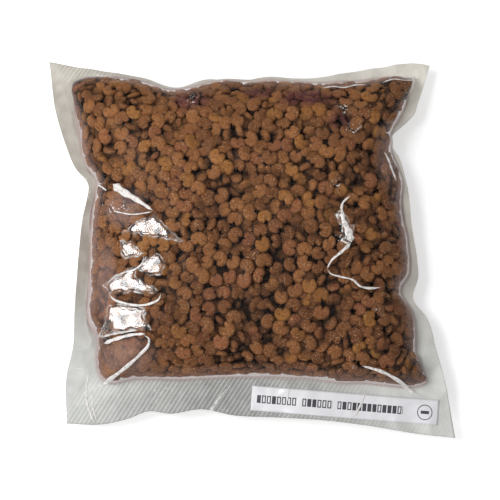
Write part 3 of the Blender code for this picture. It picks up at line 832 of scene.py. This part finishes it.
def film_finish(name, film, ribbed):
    """Clear film: a share of it is haze, more in the weld and at creases, and the rest lets the light
    through. Over both lies a gloss of a few percent, more at a glancing angle: base + (1 - base) f^5.
    A slack pocket has a white rim of painted highlight, a dark line inside it, and a gloss broken into
    patches. Folds and creases are whitened as creased film and as painted highlight, crumpled patches
    carry painted glints, the border's brightness is painted light and shade over its haze, and the
    flanks carry haze and painted sheen."""
    finish = Finish(name)
    edge, cling, crease_and_highlight, milk_and_light = map(finish.attribute, ("border", "cling", "crease_and_highlight", "milk_and_light"))
    pocket, pressed, mist_and_sheen, painted_glints = map(finish.attribute, ("pocket", "ribs_and_rib_shade", "mist_and_sheen", "painted_glints"))
    x, y, _ = finish.split(finish.coordinates())

    across = (x * math.sin(film.rib_angle) - y * math.cos(film.rib_angle)) * (TURN / film.rib_pitch)
    rib = (across.sine() * 0.5 + 0.5) ** 1.6
    dash = finish.noise(0.0016, 1.0).ramp(0.35, 0.6)
    # Painted light and shade along the ribs, partly the thicker film's own haze.
    ribs_and_rib_shade = (rib.ramp(0.45, 1.0) - 0.3) * (0.4 + dash * 0.6) * pressed
    relief = finish.bump(rib * (pressed.larger(1 - edge) if ribbed else pressed), film.rib_depth)

    # Painted glints: white sparkles in the crumpled patches.
    spark = finish.noise(0.0013, 1.0).ramp(0.60, 0.68) * finish.noise(0.006, 1.0).ramp(0.42, 0.55)
    glint = (spark * painted_glints).held()
    # The pocket's rim is painted highlight in the crease colour; its dark line only lowers the gloss.
    away = pocket + (finish.noise(0.0035) - 0.5) * 1.4
    rim = 1 - abs(away - 0.3).ramp(0.25, 0.7)
    line = 1 - abs(away - 2.0).ramp(0.15, 0.55)
    crease_and_highlight = crease_and_highlight.larger(rim * finish.noise(0.0045, 1.0).ramp(0.40, 0.60) * 0.7).larger(glint * 0.9)
    crease_and_highlight = (crease_and_highlight * (0.55 + finish.noise(0.0022).ramp(0.30, 0.55) * 0.45)).held()

    cloud = finish.noise(0.012, 3.0)
    # The border's brightness: painted light and shade by direction, painted highlight streaks, clouds and
    # painted rib shading.
    milk_and_light = (milk_and_light + (cloud - 0.5) * 0.35 + ribs_and_rib_shade * 0.75).held()
    haze = film.food_haze + (film.border_haze - film.food_haze) * edge + mist_and_sheen * film.mist_and_sheen_haze * (0.5 + cloud)
    haze = (haze + crease_and_highlight * film.crease_and_highlight_haze).held()
    cool = finish.blend(milk_and_light, film.cool_dim, film.cool_bright)
    paint = finish.blend(y.ramp(-0.095, 0.0), cool, finish.blend(milk_and_light, film.dim, film.bright))
    # Haze and painted sheen on the flanks and in the veils.
    paint = finish.blend(mist_and_sheen.ramp(0.0, 0.2) * (1 - edge), paint, film.mist_and_sheen)
    paint = finish.blend(crease_and_highlight, paint, film.crease_and_highlight)
    body = finish.principled(Base_Color=paint, Roughness=0.5, Normal=relief)
    clear = finish.node("ShaderNodeBsdfTransparent", inputs={0: WHITE})

    facing = finish.node("ShaderNodeLayerWeight", inputs={0: 0.5}, output=1)
    smear = finish.noise(0.008, 1.0).ramp(0.30, 0.55)
    gloss = film.gloss * (1 - line * 0.8) * (0.4 + smear * 0.6)
    gloss = gloss + cling * (film.cling_gloss - gloss)
    gloss = gloss + (1 - gloss) * facing**5.0 * (1 - cling * 0.92)
    roughness = film.roughness + cling * (film.cling_roughness - film.roughness)
    mirror = finish.node("ShaderNodeBsdfAnisotropic", inputs={0: WHITE, "Roughness": roughness})
    return finish.done(finish.mixed(gloss, finish.mixed(haze, clear, body), mirror))


def label_finish(label):
    """Smooth paper with a line of plain blocks, a ring and a bar, laid out by the strip's own UV."""
    finish = Finish("printed_paper")
    u, v, _ = finish.split(finish.node("ShaderNodeUVMap", {"uv_map": "strip"}))
    u, v = u * (label.length / MM), v * (label.width / MM)
    ink = 0.0
    for start, end in WORDS:
        ink = (u > start) * (u < end) + ink
    cell = u / LETTER_PITCH
    beside, above = abs(cell.part() - 0.5) * LETTER_PITCH, abs(v - LINE_HEIGHT)
    block = (beside < LETTER_HALF[0]) * (above < LETTER_HALF[1])
    hollow = (beside < LETTER_HALF[0] - STROKE) * (above < LETTER_HALF[1] - STROKE)
    which = finish.node("ShaderNodeTexWhiteNoise", {"noise_dimensions": "1D"}, {"W": cell.whole()})
    ink = ink * block * (1 - hollow * (which > 0.45))
    du, dv = u - RING_PLACE[0], v - RING_PLACE[1]
    ring = abs((du * du + dv * dv) ** 0.5 - RING_RADIUS) < RING_STROKE
    bar = (abs(du) < BAR_HALF[0]) * (abs(dv) < BAR_HALF[1])
    paper = finish.blend(finish.noise(0.0009, 3.0) * 0.25, label.paper, [c * 0.88 for c in label.paper])
    paint = finish.blend((ink + ring + bar).held(), paper, label.ink)
    smooth = finish.principled(Base_Color=paint, Roughness=0.38, Coat_Weight=0.25, Coat_Roughness=0.15)
    return finish.done(smooth)


def shoves(places, others, spacing):
    """The steps that bring places to that distance from others: along each gap, by its shortfall."""
    gap = places[:, None] - others[None]
    distance = np.hypot(gap[..., 0], gap[..., 1]) + 1e-9
    push = np.clip(spacing - distance, 0, None) / distance
    if others is places:
        np.fill_diagonal(push, 0)
    return (push[..., None] * gap).sum(axis=1)


def scatter(reach, margin, spacing, draw, settled):
    """Random places within reach(direction), pushed apart until neighbours lie about one spacing apart.

    Each round moves every place by a share of its overlap with each neighbour, and away from the
    settled places of the layer above, and then back to at least the margin from the outline.
    """
    ring = np.linspace(-math.pi, math.pi, 2 * OUTLINE_STEPS, endpoint=False)
    around = reach(ring)
    outline = around[:, None] * np.column_stack([np.cos(ring), np.sin(ring)])
    widest = around.max()
    count = int(np.mean(around**2) * math.pi / (spacing**2 * math.sqrt(3) / 2))
    tries = draw.uniform(-widest, widest, (count * 3, 2))
    turn, far = from_middle(tries)
    places = tries[far < reach(turn) - margin][:count]
    for _ in range(SCATTER_ROUNDS):
        places = places + NEIGHBOUR_PUSH * shoves(places, places, spacing)
        if settled is not None:
            places = places + SETTLED_PUSH * shoves(places, settled, spacing * SETTLED_SPACING)
        turn, far = from_middle(places)
        places *= np.minimum(1, (reach(turn) - margin * 0.5) / (far + 1e-9))[:, None]
        gap = places[:, None] - outline[None]
        distance = np.hypot(gap[..., 0], gap[..., 1])
        closest = distance.min(axis=1)[:, None]
        away = gap[np.arange(len(places)), distance.argmin(axis=1)] / (closest + 1e-9)
        places = places + away * np.clip(margin - closest, 0, None)
    return places


def kibble_template(fine):
    """Directions, ring shares and ring heights of one lens, closer together at its notch."""
    turn = np.radians([0, 11, 22, 38, 65, 105, 142, 180, 218, 255, 295, 322, 338, 349])
    if fine:
        return turn, np.array([0.55, 0.86, 1.0, 0.86, 0.55]), np.array([1.0, 0.80, 0.0, -0.80, -1.0])
    return turn, np.array([0.80, 1.0, 0.80]), np.array([0.85, 0.0, -0.85])


def rim_shade(fine):
    """Extra depth in millimetres for the painted shade on a piece's rim: none on its face, more towards its
    back.
    """
    turn, _, height = kibble_template(fine)
    return RIM_SHADE * (1 - np.concatenate([[1], np.repeat(height, len(turn)), [-1]]))


def kibble_faces(rings, corners, count):
    """Quads between a piece's rings and triangles at its two poles, for that many pieces."""
    here, there = np.arange(corners), (np.arange(corners) + 1) % corners
    quads = []
    for ring in range(rings - 1):
        low, high = 1 + ring * corners, 1 + (ring + 1) * corners
        quads.append(np.column_stack([low + here, high + here, high + there, low + there]))
    last = 1 + rings * corners
    caps = np.concatenate([
        np.column_stack([0 * here, 1 + here, 1 + there]),
        np.column_stack([last + 0 * here, last - corners + there, last - corners + here]),
    ])
    shift = (np.arange(count) * (last + 1))[:, None, None]
    return [(faces[None] + shift).reshape(-1, faces.shape[1]) for faces in (np.concatenate(quads), caps)]


def kibble_mesh(kibble, centre, normal, along, across, tilt, draw, fine):
    """Notched lenses: r = 1 - notch exp(-(turn / width)^2), flattened and domed, spun and tilted."""
    count = len(centre)
    turn, part, height = kibble_template(fine)
    signed = one_turn(turn)
    depth = kibble.notch * draw.uniform(*NOTCH_DEPTHS, (count, 1))
    width = draw.uniform(*NOTCH_WIDTHS, (count, 1))
    outline = 1 - depth * np.exp(-((signed / width) ** 2))
    oval = OVALNESS * draw.normal(size=(count, 1))
    outline = outline * (1 + oval * np.cos(2 * turn + draw.uniform(0, TURN, (count, 1))))
    radius = kibble.length / 2 * draw.uniform(*PIECE_SIZES, (count, 1))
    half = kibble.thickness / 2 * draw.uniform(*PIECE_THICKNESSES, (count, 1, 1))
    x = (outline * radius * np.cos(turn) * PIECE_STRETCH[0])[:, None, :] * part[None, :, None]
    y = (outline * radius * np.sin(turn) * PIECE_STRETCH[1])[:, None, :] * part[None, :, None]
    groove = 1 - GROOVE_DEPTH * np.exp(-((signed / (GROOVE_WIDTH * width)) ** 2))
    z = half * height[None, :, None] * (groove[:, None, :] if fine else 1) + 0 * x
    local = np.stack([x, y, z], axis=-1).reshape(count, -1, 3)
    pole = np.concatenate([0 * half, 0 * half, half * (POLE_RISE if fine else 1)], axis=-1)
    local = np.concatenate([pole, local, -pole], axis=1)

    lean_to, spin = draw.uniform(0, TURN, (2, count, 1))
    first = np.cos(lean_to) * along + np.sin(lean_to) * across
    level = np.cross(normal, first)
    rise, flat = np.sin(tilt)[:, None], np.cos(tilt)[:, None]
    second, up = flat * level + rise * normal, flat * normal - rise * level
    ahead = np.cos(spin) * first + np.sin(spin) * second
    return centre[:, None] + local @ np.stack([ahead, np.cross(up, ahead), up], axis=1)


def tilts(draw, count, steep_share):
    """Leans of pieces from lying flat: most slight, and a share of them steep."""
    slight = np.abs(draw.normal(0, math.radians(SLIGHT_LEAN), count))
    steep = draw.uniform(*np.radians(STEEP_LEANS), count)
    return np.where(draw.uniform(size=count) < steep_share, steep, slight)


def lay_kibble(skin, kibble, layers, seed):
    """Places, tilts and depths of some layers against one skin, from the outermost inwards."""
    form, draw = skin.form, np.random.default_rng(seed)
    laid, places = [], None
    for layer in range(layers):
        margin = kibble.spacing * (LAYER_MARGIN + MARGIN_STEP * layer)
        places = scatter(skin.reach, margin, kibble.spacing, draw, places)
        turn, far = from_middle(places)
        tilt = tilts(draw, len(places), STEEP_SHARES[layer])
        reach = np.hypot(kibble.length / 2 * np.sin(tilt), kibble.thickness / 2 * np.cos(tilt))
        depth = reach + SKIN_GAP + draw.uniform(0, DEPTH_JITTER, len(places)) + layer * kibble.layer_depth
        on_skin, normal, along, across = skin.frame(turn, far / skin.reach(turn))
        middle = on_skin - normal * depth[:, None]
        points = form.hold(kibble_mesh(kibble, middle, normal, along, across, tilt, draw, layer == 0))
        # Depth of each point below the skin, in mm, which sets the painted shade.
        shade_depth = depth[:, None] - ((points - middle[:, None]) * normal[:, None]).sum(axis=-1)
        tone, toast = draw.uniform(size=(2, len(places)))
        laid.append((points, tone, toast, shade_depth / MM + rim_shade(layer == 0)))
    return laid


def rim_row(form, kibble, seed):
    """A row of pieces that stand on edge along the weld, their flat side to the film."""

    def weld(at):
        return polar(at, form.fill_radius(at), form.seam(at))

    draw = np.random.default_rng(seed)
    turn = np.linspace(-math.pi, math.pi, RIM_STEPS, endpoint=False)
    far = run_length(weld(turn)[:, :2])
    count = int(far[-1] / (kibble.spacing * RIM_SPACING))
    shift = draw.uniform(*RIM_SHIFTS, count) + 0.5
    at = np.interp((np.arange(count) + shift) / count * far[-1], far, turn)
    step = kibble.length * RIM_CHORD / form.fill_radius(at)
    edge, after, before = weld(at), weld(at + step), weld(at - step)
    ahead = unit(after - before)
    up = np.broadcast_to(np.array((0.0, 0.0, 1.0)), edge.shape)
    normal = unit(np.cross(ahead, up))
    tilt = np.abs(draw.normal(0, math.radians(RIM_LEAN), count))
    bulge = np.clip(((edge - (after + before) / 2) * normal).sum(axis=-1), 0, None)
    room = kibble.thickness + kibble.length * np.sin(tilt) * RIM_LEAN_ROOM
    inward = room / 2 + RIM_GAP + bulge * RIM_BULGE
    middle = edge - normal * inward[:, None] + up * draw.uniform(*RIM_RISES, count)[:, None]
    points = form.hold(kibble_mesh(kibble, middle, normal, ahead, np.cross(normal, ahead), tilt, draw, True))
    tone, toast = draw.uniform(size=(2, count))
    return points, tone, toast, np.full(points.shape[:2], RIM_SHADE_DEPTH) + rim_shade(True)


def kibble_piece(name, layers, finish):
    """One mesh of all the pieces in some layers, with tone, toast, and the depth and dusk of its painted
    shade on its points.
    """
    places, quads, caps, total = [], [], [], 0
    marks = {"tone": [], "toast": [], "shade_depth": [], "painted_dusk": []}
    for points, tone, toast, shade_depth in layers:
        count, each = points.shape[:2]
        turn, part, _ = kibble_template(each > 60)
        four, three = kibble_faces(len(part), len(turn), count)
        quads.append(four + total)
        caps.append(three + total)
        places.append(points.reshape(-1, 3))
        painted_dusk = in_ovals(PAINTED_DUSK_PATCHES, points[..., 0], points[..., 1])
        for key, values in zip(marks, (np.repeat(tone, each), np.repeat(toast, each), shade_depth, painted_dusk)):
            marks[key].append(values.ravel())
        total += count * each
    attributes = [(key, np.concatenate(values)) for key, values in marks.items()]
    faces = [np.concatenate(quads), np.concatenate(caps)]
    return new_piece(name, np.concatenate(places), faces, finish, "kibble_fill", attributes)


def film_grid(form, steps):
    """Directions and shares of a square grid laid over the pouch.

    A point's ring is the larger of |u| and |v|, and its direction that of (u, v), turned so that the
    square's corners fall on the films' corners. One ring of points lies on the weld.
    """
    line = np.linspace(-1, 1, 2 * steps + 1)
    u, v = np.meshgrid(line, line)
    ring = np.maximum(np.abs(u), np.abs(v))
    turn = np.mod(np.arctan2(v, u) + 0.75 * math.pi, TURN) - 0.75 * math.pi
    square = np.array([-0.75, -0.25, 0.25, 0.75, 1.25]) * math.pi
    actual, _ = from_middle(form.corners[::-1])
    turn = np.interp(turn, square, np.append(actual, actual[0] + TURN))
    weld = round(WELD_RING * steps) / steps
    return turn, np.clip(ring / weld, 0, 1), np.clip((ring - weld) / (1 - weld), 0, 1)


def outward(points, side):
    """Normals of a grid of points, from its differences along rows and columns."""
    return unit(side * np.cross(np.gradient(points, axis=1), np.gradient(points, axis=0)))


def inside_polygon(x, y, corners):
    """Signed distance to a polygon's outline, positive inside it."""
    best = np.full(x.shape, np.inf)
    inside = np.zeros(x.shape, bool)
    for (ax, ay), (bx, by) in zip(corners, np.roll(corners, -1, axis=0)):
        px, py, dx, dy = x - ax, y - ay, bx - ax, by - ay
        t = np.clip((px * dx + py * dy) / (dx * dx + dy * dy), 0, 1)
        best = np.minimum(best, np.hypot(px - t * dx, py - t * dy))
        inside ^= ((ay > y) != (by > y)) & (x < dx * (y - ay) / (by - ay + 1e-12) + ax)
    return np.where(inside, best, -best)


def facet_slopes(middle):
    """Slopes along x and y of a facet there that mirrors the key lamp into the camera.

    Its normal is the sum of the unit vectors to the camera and to the lamp; slope = -normal_xy / normal_z.
    """
    stage = bpy.context.scene.pouch_stage
    eye = np.array(stage.aim) + stage.distance * np.array((0, -math.sin(stage.tilt), math.cos(stage.tilt)))
    normal = sum(unit(np.array(end) - middle) for end in (eye, KEY_PLACE))
    return -normal[:2] / normal[2]


def pocket_lift(x, y, height):
    """How far the front film stands off in its pockets, how loose it is, and the distance inside one.

    A pocket is a plane sloped so that it mirrors the key lamp, and it just clears the skin at its
    lowest place. It fades out within a millimetre of the pocket's edge.
    """
    lift, loose, inner = np.zeros(x.shape), np.zeros(x.shape), np.full(x.shape, FAR_OUTSIDE * MM)
    for number, pocket in enumerate(POCKETS):
        corners = np.array(pocket) * MM
        inside = inside_polygon(x, y, corners) + POCKET_WANDER * ripple(60 + number, x, y, POCKET_WANDER_SIZE)
        near = smooth_step(-POCKET_EDGE, POCKET_EDGE, inside)
        middle = corners.mean(axis=0)
        slope_x, slope_y = facet_slopes(np.array((*middle, 0.06)))
        wave = FACET_RIPPLE * ripple(40 + number, x, y, FACET_RIPPLE_SIZE)
        plane = slope_x * (x - middle[0]) + slope_y * (y - middle[1]) - height + wave
        lift = np.maximum(lift, near * (plane - plane[inside > 0].min() + POCKET_CLEARANCE))
        loose = np.maximum(loose, near)
        inner = np.maximum(inner, inside)
    ceiling = np.clip(bpy.context.scene.pouch_sizes.height + TOP_SLACK - height, 0, HIGHEST_LIFT)
    return np.minimum(lift, ceiling), loose, inner


def around(knots, turn):
    """A value listed by direction in degrees, with straight lines between."""
    return np.interp(np.degrees(one_turn(turn)), *np.array(knots, float).T)


def in_ovals(ovals, x, y):
    """1 in the middle of any of the ovals and 0 outside them all."""
    shade = np.zeros(x.shape)
    for middle_x, middle_y, half_length, half_width in ovals:
        far = np.hypot((x / MM - middle_x) / half_length, (y / MM - middle_y) / half_width)
        shade = np.maximum(shade, smooth_step(1.0, OVAL_CORE, far))
    return shade


def border_highlight_streaks(x, y):
    """1 along the middle of each broad pale streak of painted highlight, falling to 0 at its edge."""
    pale = np.zeros(x.shape)
    for half, *line in BORDER_HIGHLIGHT_STREAKS:
        away = np.abs(inside_polygon(x, y, np.array(line + line[-2:0:-1]) * MM)) / (half * MM)
        pale = np.maximum(pale, smooth_step(1.0, STREAK_CORE, away))
    return pale


def film_marks(form, turn, arc, cling, points, inner=None):
    """The attributes that the films' finish reads, by name. Only the front has painted glints and pockets."""
    x, y = points[..., 0], points[..., 1]
    flat = np.zeros(x.shape)
    # Haze and painted sheen, strongest on the left and right flanks.
    flank = smooth_step(*FLANK, arc) * (0.3 + 0.7 * np.cos(turn) ** 2)
    return [
        ("border", smooth_step(0, BORDER_FADE, np.hypot(x, y) - form.kibble_reach(turn))),
        ("cling", cling),
        ("crease_and_highlight", flat),
        ("milk_and_light", around(BORDER_MILK_AND_LIGHT, turn) + border_highlight_streaks(x, y)),
        ("ribs_and_rib_shade", around(BORDER_RIBS, turn)),
        ("mist_and_sheen", np.maximum(flank, SHEEN_VEIL * in_ovals(SHEEN_VEILS, x, y))),
        ("painted_glints", flat if inner is None else in_ovals(PAINTED_GLINT_PATCHES, x, y)),
        ("pocket", flat + FAR_OUTSIDE if inner is None else inner / MM),
    ]


def mesh_samples(piece):
    """The corners, the middles of the edges and the middles of the faces of a piece's mesh."""

    def read(items, key, width, kind=float):
        values = np.empty(len(items) * width, kind)
        items.foreach_get(key, values)
        return values.reshape(-1, width)

    mesh = piece.data
    points = read(mesh.vertices, "co", 3)
    middles = points[read(mesh.edges, "vertices", 2, np.int32)].mean(axis=1)
    return np.concatenate([points, middles, read(mesh.polygons, "center", 3)])


def film_base(form, skin):
    """A film's grid before it clings: directions, arcs, which points are border, and the points."""
    turn, arc, part = film_grid(form, FILM_STEPS)
    in_border = part > 0
    points = np.where(in_border[..., None], form.border(turn, part, skin.side), skin.points(turn, arc))
    return turn, arc, in_border, points


def film_piece(name, form, skin, points, finish, replaces, attributes):
    """A film of its thickness on a grid of points, facing outwards."""
    faces = grid_faces(*points.shape[:2], flip=skin.side < 0)
    thicken(new_piece(name, points, [faces], finish, replaces, attributes), form.sizes.film_thickness)


def front_film(form, finish):
    """The front film: the form's crown and border, draped over the kibble and lifted in pockets."""
    turn, arc, in_border, points = film_base(form, form.front)
    lift, loose, inner = pocket_lift(*np.moveaxis(points, -1, 0))
    sink = form.front.sink([bpy.data.objects[name] for name in ("kibble_front", "kibble_under")], turn, arc)
    shift = np.where(lift > 0, np.maximum(lift, -sink), -sink) * smooth_step(*CLING_SLACK, arc)
    marks = film_marks(form, turn, arc, np.where(in_border, BORDER_CLING, 1 - loose), points, inner)
    points = points + outward(points, 1) * np.where(in_border, 0, shift)[..., None]
    film_piece("clear_front_film", form, form.front, points, finish, "front_film", marks)


def back_film(form, finish):
    """The back film, pressed with ribs: the form's base and border."""
    turn, arc, in_border, points = film_base(form, form.back)
    sink = form.back.sink([bpy.data.objects["kibble_back"]], turn, arc)
    sink = np.where(in_border, 0, np.clip(sink, 0, DEEPEST_CLING) * smooth_step(*CLING_SLACK, arc))
    points = points - outward(points, -1) * sink[..., None]
    marks = film_marks(form, turn, arc, np.where(in_border, BORDER_CLING, 1.0), points)
    film_piece("ribbed_back_film", form, form.back, points, finish, "back_film", marks)


def fold_path(fold):
    """A smooth line through a fold's points, by its own length."""
    points = np.array(fold[3:]) * MM
    far = run_length(points)
    at = np.linspace(0, far[-1], max(10, int(far[-1] / FOLD_STEP)))
    return np.column_stack([smooth_through(np.column_stack([far, points[:, n]]), at) for n in range(2)])


def film_folds(form, finish):
    """Thin folds of film that stand on the front: an arch carried along each line, narrowing to its ends, and
    painted white as creased film and painted highlight.
    """
    profile = np.linspace(-1, 1, 7)
    points, quads, caps, total = [], [], [], 0
    for number, fold in enumerate(FOLDS):
        line = fold_path(fold)
        step = np.gradient(line, axis=0)
        step /= np.hypot(*step.T)[:, None]
        aside = np.column_stack([-step[:, 1], step[:, 0]])
        t = np.linspace(0, 1, len(line))
        ends = smooth_step(0, 0.12, t) * smooth_step(1, 0.88, t)
        wander = 0.85 + 0.15 * np.sin(23 * t + 3 * number)
        half = ((fold[0] + (fold[1] - fold[0]) * t) * MM * (ends * wander + 0.05))[:, None]
        side = line[:, None] + aside[:, None] * (profile[None, :] * half)[..., None]
        foot = form.front_at(side) + fold[2] * MM
        top = np.dstack([side, foot + FOLD_ARCH * half * (1 - profile[None, :] ** 2) + FOLD_THICKNESS])
        loop = np.concatenate([top, np.dstack([side, foot])[:, ::-1]], axis=1)
        rows, columns = loop.shape[:2]
        ring = np.arange(columns)
        here = np.arange(rows - 1)[:, None] * columns + ring
        beside = np.arange(rows - 1)[:, None] * columns + (ring + 1) % columns
        corners = (here, beside, beside + columns, here + columns)
        quads.append(np.column_stack([n.ravel() for n in corners]) + total)
        caps.append(np.stack([ring[::-1], ring + (rows - 1) * columns]) + total)
        points.append(loop.reshape(-1, 3))
        total += rows * columns
    # Folds are painted white and bright: creased film's whitening and painted highlight.
    levels = dict(border=0, cling=0.7, crease_and_highlight=0.9, milk_and_light=1, pocket=FAR_OUTSIDE, mist_and_sheen=0, ribs_and_rib_shade=0, painted_glints=0)
    attributes = [(key, np.full(total, float(level))) for key, level in levels.items()]
    faces = [np.concatenate(quads), np.concatenate(caps)]
    new_piece("film_folds", np.concatenate(points), faces, finish, "front_film", attributes)


def painted_shade_core(form, finish):
    """A dark sheet of painted shade inside: both skins drawn in by two layers of kibble, and closed at the
    weld.
    """
    turn, arc, _ = film_grid(form, CORE_STEPS)
    sides = []
    for skin in (form.front, form.back):
        points, normal, _, _ = skin.frame(turn, arc * CORE_ARC)
        sides.append(points - normal * CORE_DEPTH)
    front, back = sides
    count = turn.shape[0]
    edge = np.ones((count, count), bool)
    edge[1:-1, 1:-1] = False
    front[edge] = back[edge] = ((front + back) / 2)[edge]
    quads = np.concatenate([grid_faces(count, count), grid_faces(count, count, flip=True) + count * count])
    piece = new_piece("painted_shade_core", np.stack([front, back]), [quads], finish, "kibble_fill")
    piece.modifiers.new("closed", "WELD").merge_threshold = 0.00001


def label_strip(form, label, finish):
    """A strip of paper laid on the border: the border's height under each point, plus a small gap."""
    rows, columns = LABEL_GRID
    edge = unit(form.corners[2] - form.corners[3])
    upward = np.array((-edge[1], edge[0]))
    corner = form.corners[2] - edge * label.right_margin + upward * label.top_margin
    along = edge * math.cos(label.turn) + upward * math.sin(label.turn)
    fall = np.array((along[1], -along[0]))
    u, v = np.meshgrid(np.linspace(0, 1, columns), np.linspace(0, 1, rows))
    place = corner - along * label.length * (1 - u[..., None]) + fall * label.width * (1 - v[..., None])
    points = np.dstack([place, form.front_at(place) + form.sizes.film_thickness + LABEL_GAP])
    piece = new_piece("label_strip", points, [grid_faces(rows, columns)], finish, "label")
    mesh = piece.data
    corners = np.empty(len(mesh.loops), np.int32)
    mesh.loops.foreach_get("vertex_index", corners)
    uv = np.column_stack([u.ravel(), v.ravel()])[corners]
    mesh.uv_layers.new(name="strip").data.foreach_set("uv", uv.astype(np.float32).ravel())
    thicken(piece, LABEL_THICKNESS)


class POUCH_OT_kibble(bpy.types.Operator):
    """Lays the kibble in layers against both skins, over a dark core of painted shade"""

    bl_idname = "pouch.kibble"
    bl_label = "Kibble"

    def execute(self, context):
        kibble, form = context.scene.pouch_kibble, Form(context.scene.pouch_sizes)
        finish = kibble_finish(kibble)
        front = lay_kibble(form.front, kibble, 3, kibble.seed)
        rim = rim_row(form, kibble, kibble.seed + 2)
        kibble_piece("kibble_front", [front[0], rim], finish)
        kibble_piece("kibble_under", front[1:], finish)
        kibble_piece("kibble_back", lay_kibble(form.back, kibble, 2, kibble.seed + 1), finish)
        painted_shade_core(form, painted_shade_core_finish())
        return {"FINISHED"}


class POUCH_OT_films(bpy.types.Operator):
    """Makes the front film, its folds and the ribbed back film"""

    bl_idname = "pouch.films"
    bl_label = "Films"

    def execute(self, context):
        film, form = context.scene.pouch_film, Form(context.scene.pouch_sizes)
        clear = film_finish("clear_film", film, ribbed=False)
        front_film(form, clear)
        film_folds(form, clear)
        back_film(form, film_finish("ribbed_film", film, ribbed=True))
        return {"FINISHED"}


class POUCH_OT_label(bpy.types.Operator):
    """Lays the paper strip on the lower border"""

    bl_idname = "pouch.label"
    bl_label = "Label"

    def execute(self, context):
        label = context.scene.pouch_label
        label_strip(Form(context.scene.pouch_sizes), label, label_finish(label))
        return {"FINISHED"}


class POUCH_OT_stage(bpy.types.Operator):
    """Sets up the floor, the world, two soft lamps and the camera"""

    bl_idname = "pouch.stage"
    bl_label = "Stage"

    def execute(self, context):
        scene = context.scene
        setup = scene.pouch_stage
        scene.view_settings.view_transform = "Standard"
        add_floor()
        add_world(scene, setup)
        add_lamp("key_lamp", KEY_PLACE, KEY_SIZE, setup.key_power)
        add_lamp("fill_lamp", FILL_PLACE, FILL_SIZE, setup.fill_power)
        add_camera(scene, setup)
        return {"FINISHED"}


def add_floor():
    """A pale floor that the camera sees as white where it is lit, and that keeps its shadows."""
    mesh = bpy.data.meshes.new("floor")
    corners = [(x * FLOOR_HALF, y * FLOOR_HALF, 0) for x, y in ((-1, -1), (1, -1), (1, 1), (-1, 1))]
    mesh.from_pydata(corners, [], [(0, 1, 2, 3)])
    finish = Finish("pale_floor")
    seen = finish.node("ShaderNodeLightPath", output=0)
    for ray in (3, 6):
        seen = seen.larger(finish.node("ShaderNodeLightPath", output=ray))
    matt = {"Base_Color": FLOOR_COLOUR, "Roughness": 0.9, "Specular_IOR_Level": 0.0}
    lifted = finish.principled(**matt, Emission_Color=WHITE, Emission_Strength=FLOOR_LIFT)
    mesh.materials.append(finish.done(finish.mixed(seen, finish.principled(**matt), lifted)))
    floor = bpy.data.objects.new("floor", mesh)
    bpy.context.scene.collection.objects.link(floor)


def add_world(scene, setup):
    """Even light from all round, which the camera, mirrors and glass see as white."""
    world = bpy.data.worlds.new("soft_white")
    scene.world = world
    world.use_nodes = True
    nodes, link = world.node_tree.nodes, world.node_tree.links.new
    nodes.clear()
    path = nodes.new("ShaderNodeLightPath")
    seen = path.outputs["Is Camera Ray"]
    for ray in ("Is Glossy Ray", "Is Transmission Ray"):
        either = nodes.new("ShaderNodeMath")
        either.operation = "MAXIMUM"
        link(seen, either.inputs[0])
        link(path.outputs[ray], either.inputs[1])
        seen = either.outputs[0]
    mix = nodes.new("ShaderNodeMixShader")
    link(seen, mix.inputs[0])
    for number, strength in enumerate((setup.ambient, 1.0), 1):
        light = nodes.new("ShaderNodeBackground")
        light.inputs[0].default_value = (*WHITE, 1.0)
        light.inputs[1].default_value = strength
        link(light.outputs[0], mix.inputs[number])
    link(mix.outputs[0], nodes.new("ShaderNodeOutputWorld").inputs[0])


def add_lamp(name, place, size, watts):
    """A rectangular softbox that faces the pouch."""
    data = bpy.data.lights.new(name, "AREA")
    data.shape = "RECTANGLE"
    data.size, data.size_y = size
    data.energy = watts
    lamp = bpy.data.objects.new(name, data)
    lamp.location = place
    lamp.rotation_euler = (-Vector(place)).to_track_quat("-Z", "Y").to_euler()
    bpy.context.scene.collection.objects.link(lamp)


def add_camera(scene, setup):
    """A camera that leans back from straight down by the tilt."""
    data = bpy.data.cameras.new("camera")
    data.sensor_width = 36.0
    data.lens = data.sensor_width * setup.distance / setup.view_width
    camera = bpy.data.objects.new("camera", data)
    back = Vector((0, -math.sin(setup.tilt), math.cos(setup.tilt)))
    camera.location = Vector(setup.aim) + back * setup.distance
    camera.rotation_euler = (setup.tilt, 0, 0)
    scene.collection.objects.link(camera)
    scene.camera = camera


class POUCH_PT_panel(bpy.types.Panel):
    """The pouch's builders and settings"""

    bl_idname = "POUCH_PT_panel"
    bl_label = "Pouch"
    bl_space_type = "VIEW_3D"
    bl_region_type = "UI"
    bl_category = "Pouch"

    def draw(self, context):
        for operator in OPERATORS:
            self.layout.operator(operator.bl_idname)
        for name, group in SETTINGS:
            box = self.layout.box()
            for key in group.__annotations__:
                box.prop(getattr(context.scene, name), key)


SETTINGS = (
    ("pouch_sizes", PouchSizes),
    ("pouch_kibble", KibbleSizes),
    ("pouch_film", FilmFinish),
    ("pouch_label", LabelSizes),
    ("pouch_stage", StageSetup),
)
OPERATORS = (POUCH_OT_kibble, POUCH_OT_films, POUCH_OT_label, POUCH_OT_stage)


def register():
    for name, group in SETTINGS:
        bpy.utils.register_class(group)
        setattr(bpy.types.Scene, name, PointerProperty(type=group))
    for kind in (*OPERATORS, POUCH_PT_panel):
        bpy.utils.register_class(kind)


def unregister():
    for kind in reversed((*OPERATORS, POUCH_PT_panel)):
        bpy.utils.unregister_class(kind)
    for name, group in reversed(SETTINGS):
        delattr(bpy.types.Scene, name)
        bpy.utils.unregister_class(group)


def main():
    register()
    bpy.ops.pouch.kibble()
    bpy.ops.pouch.films()
    bpy.ops.pouch.label()
    bpy.ops.pouch.stage()


if __name__ == "__main__":
    main()
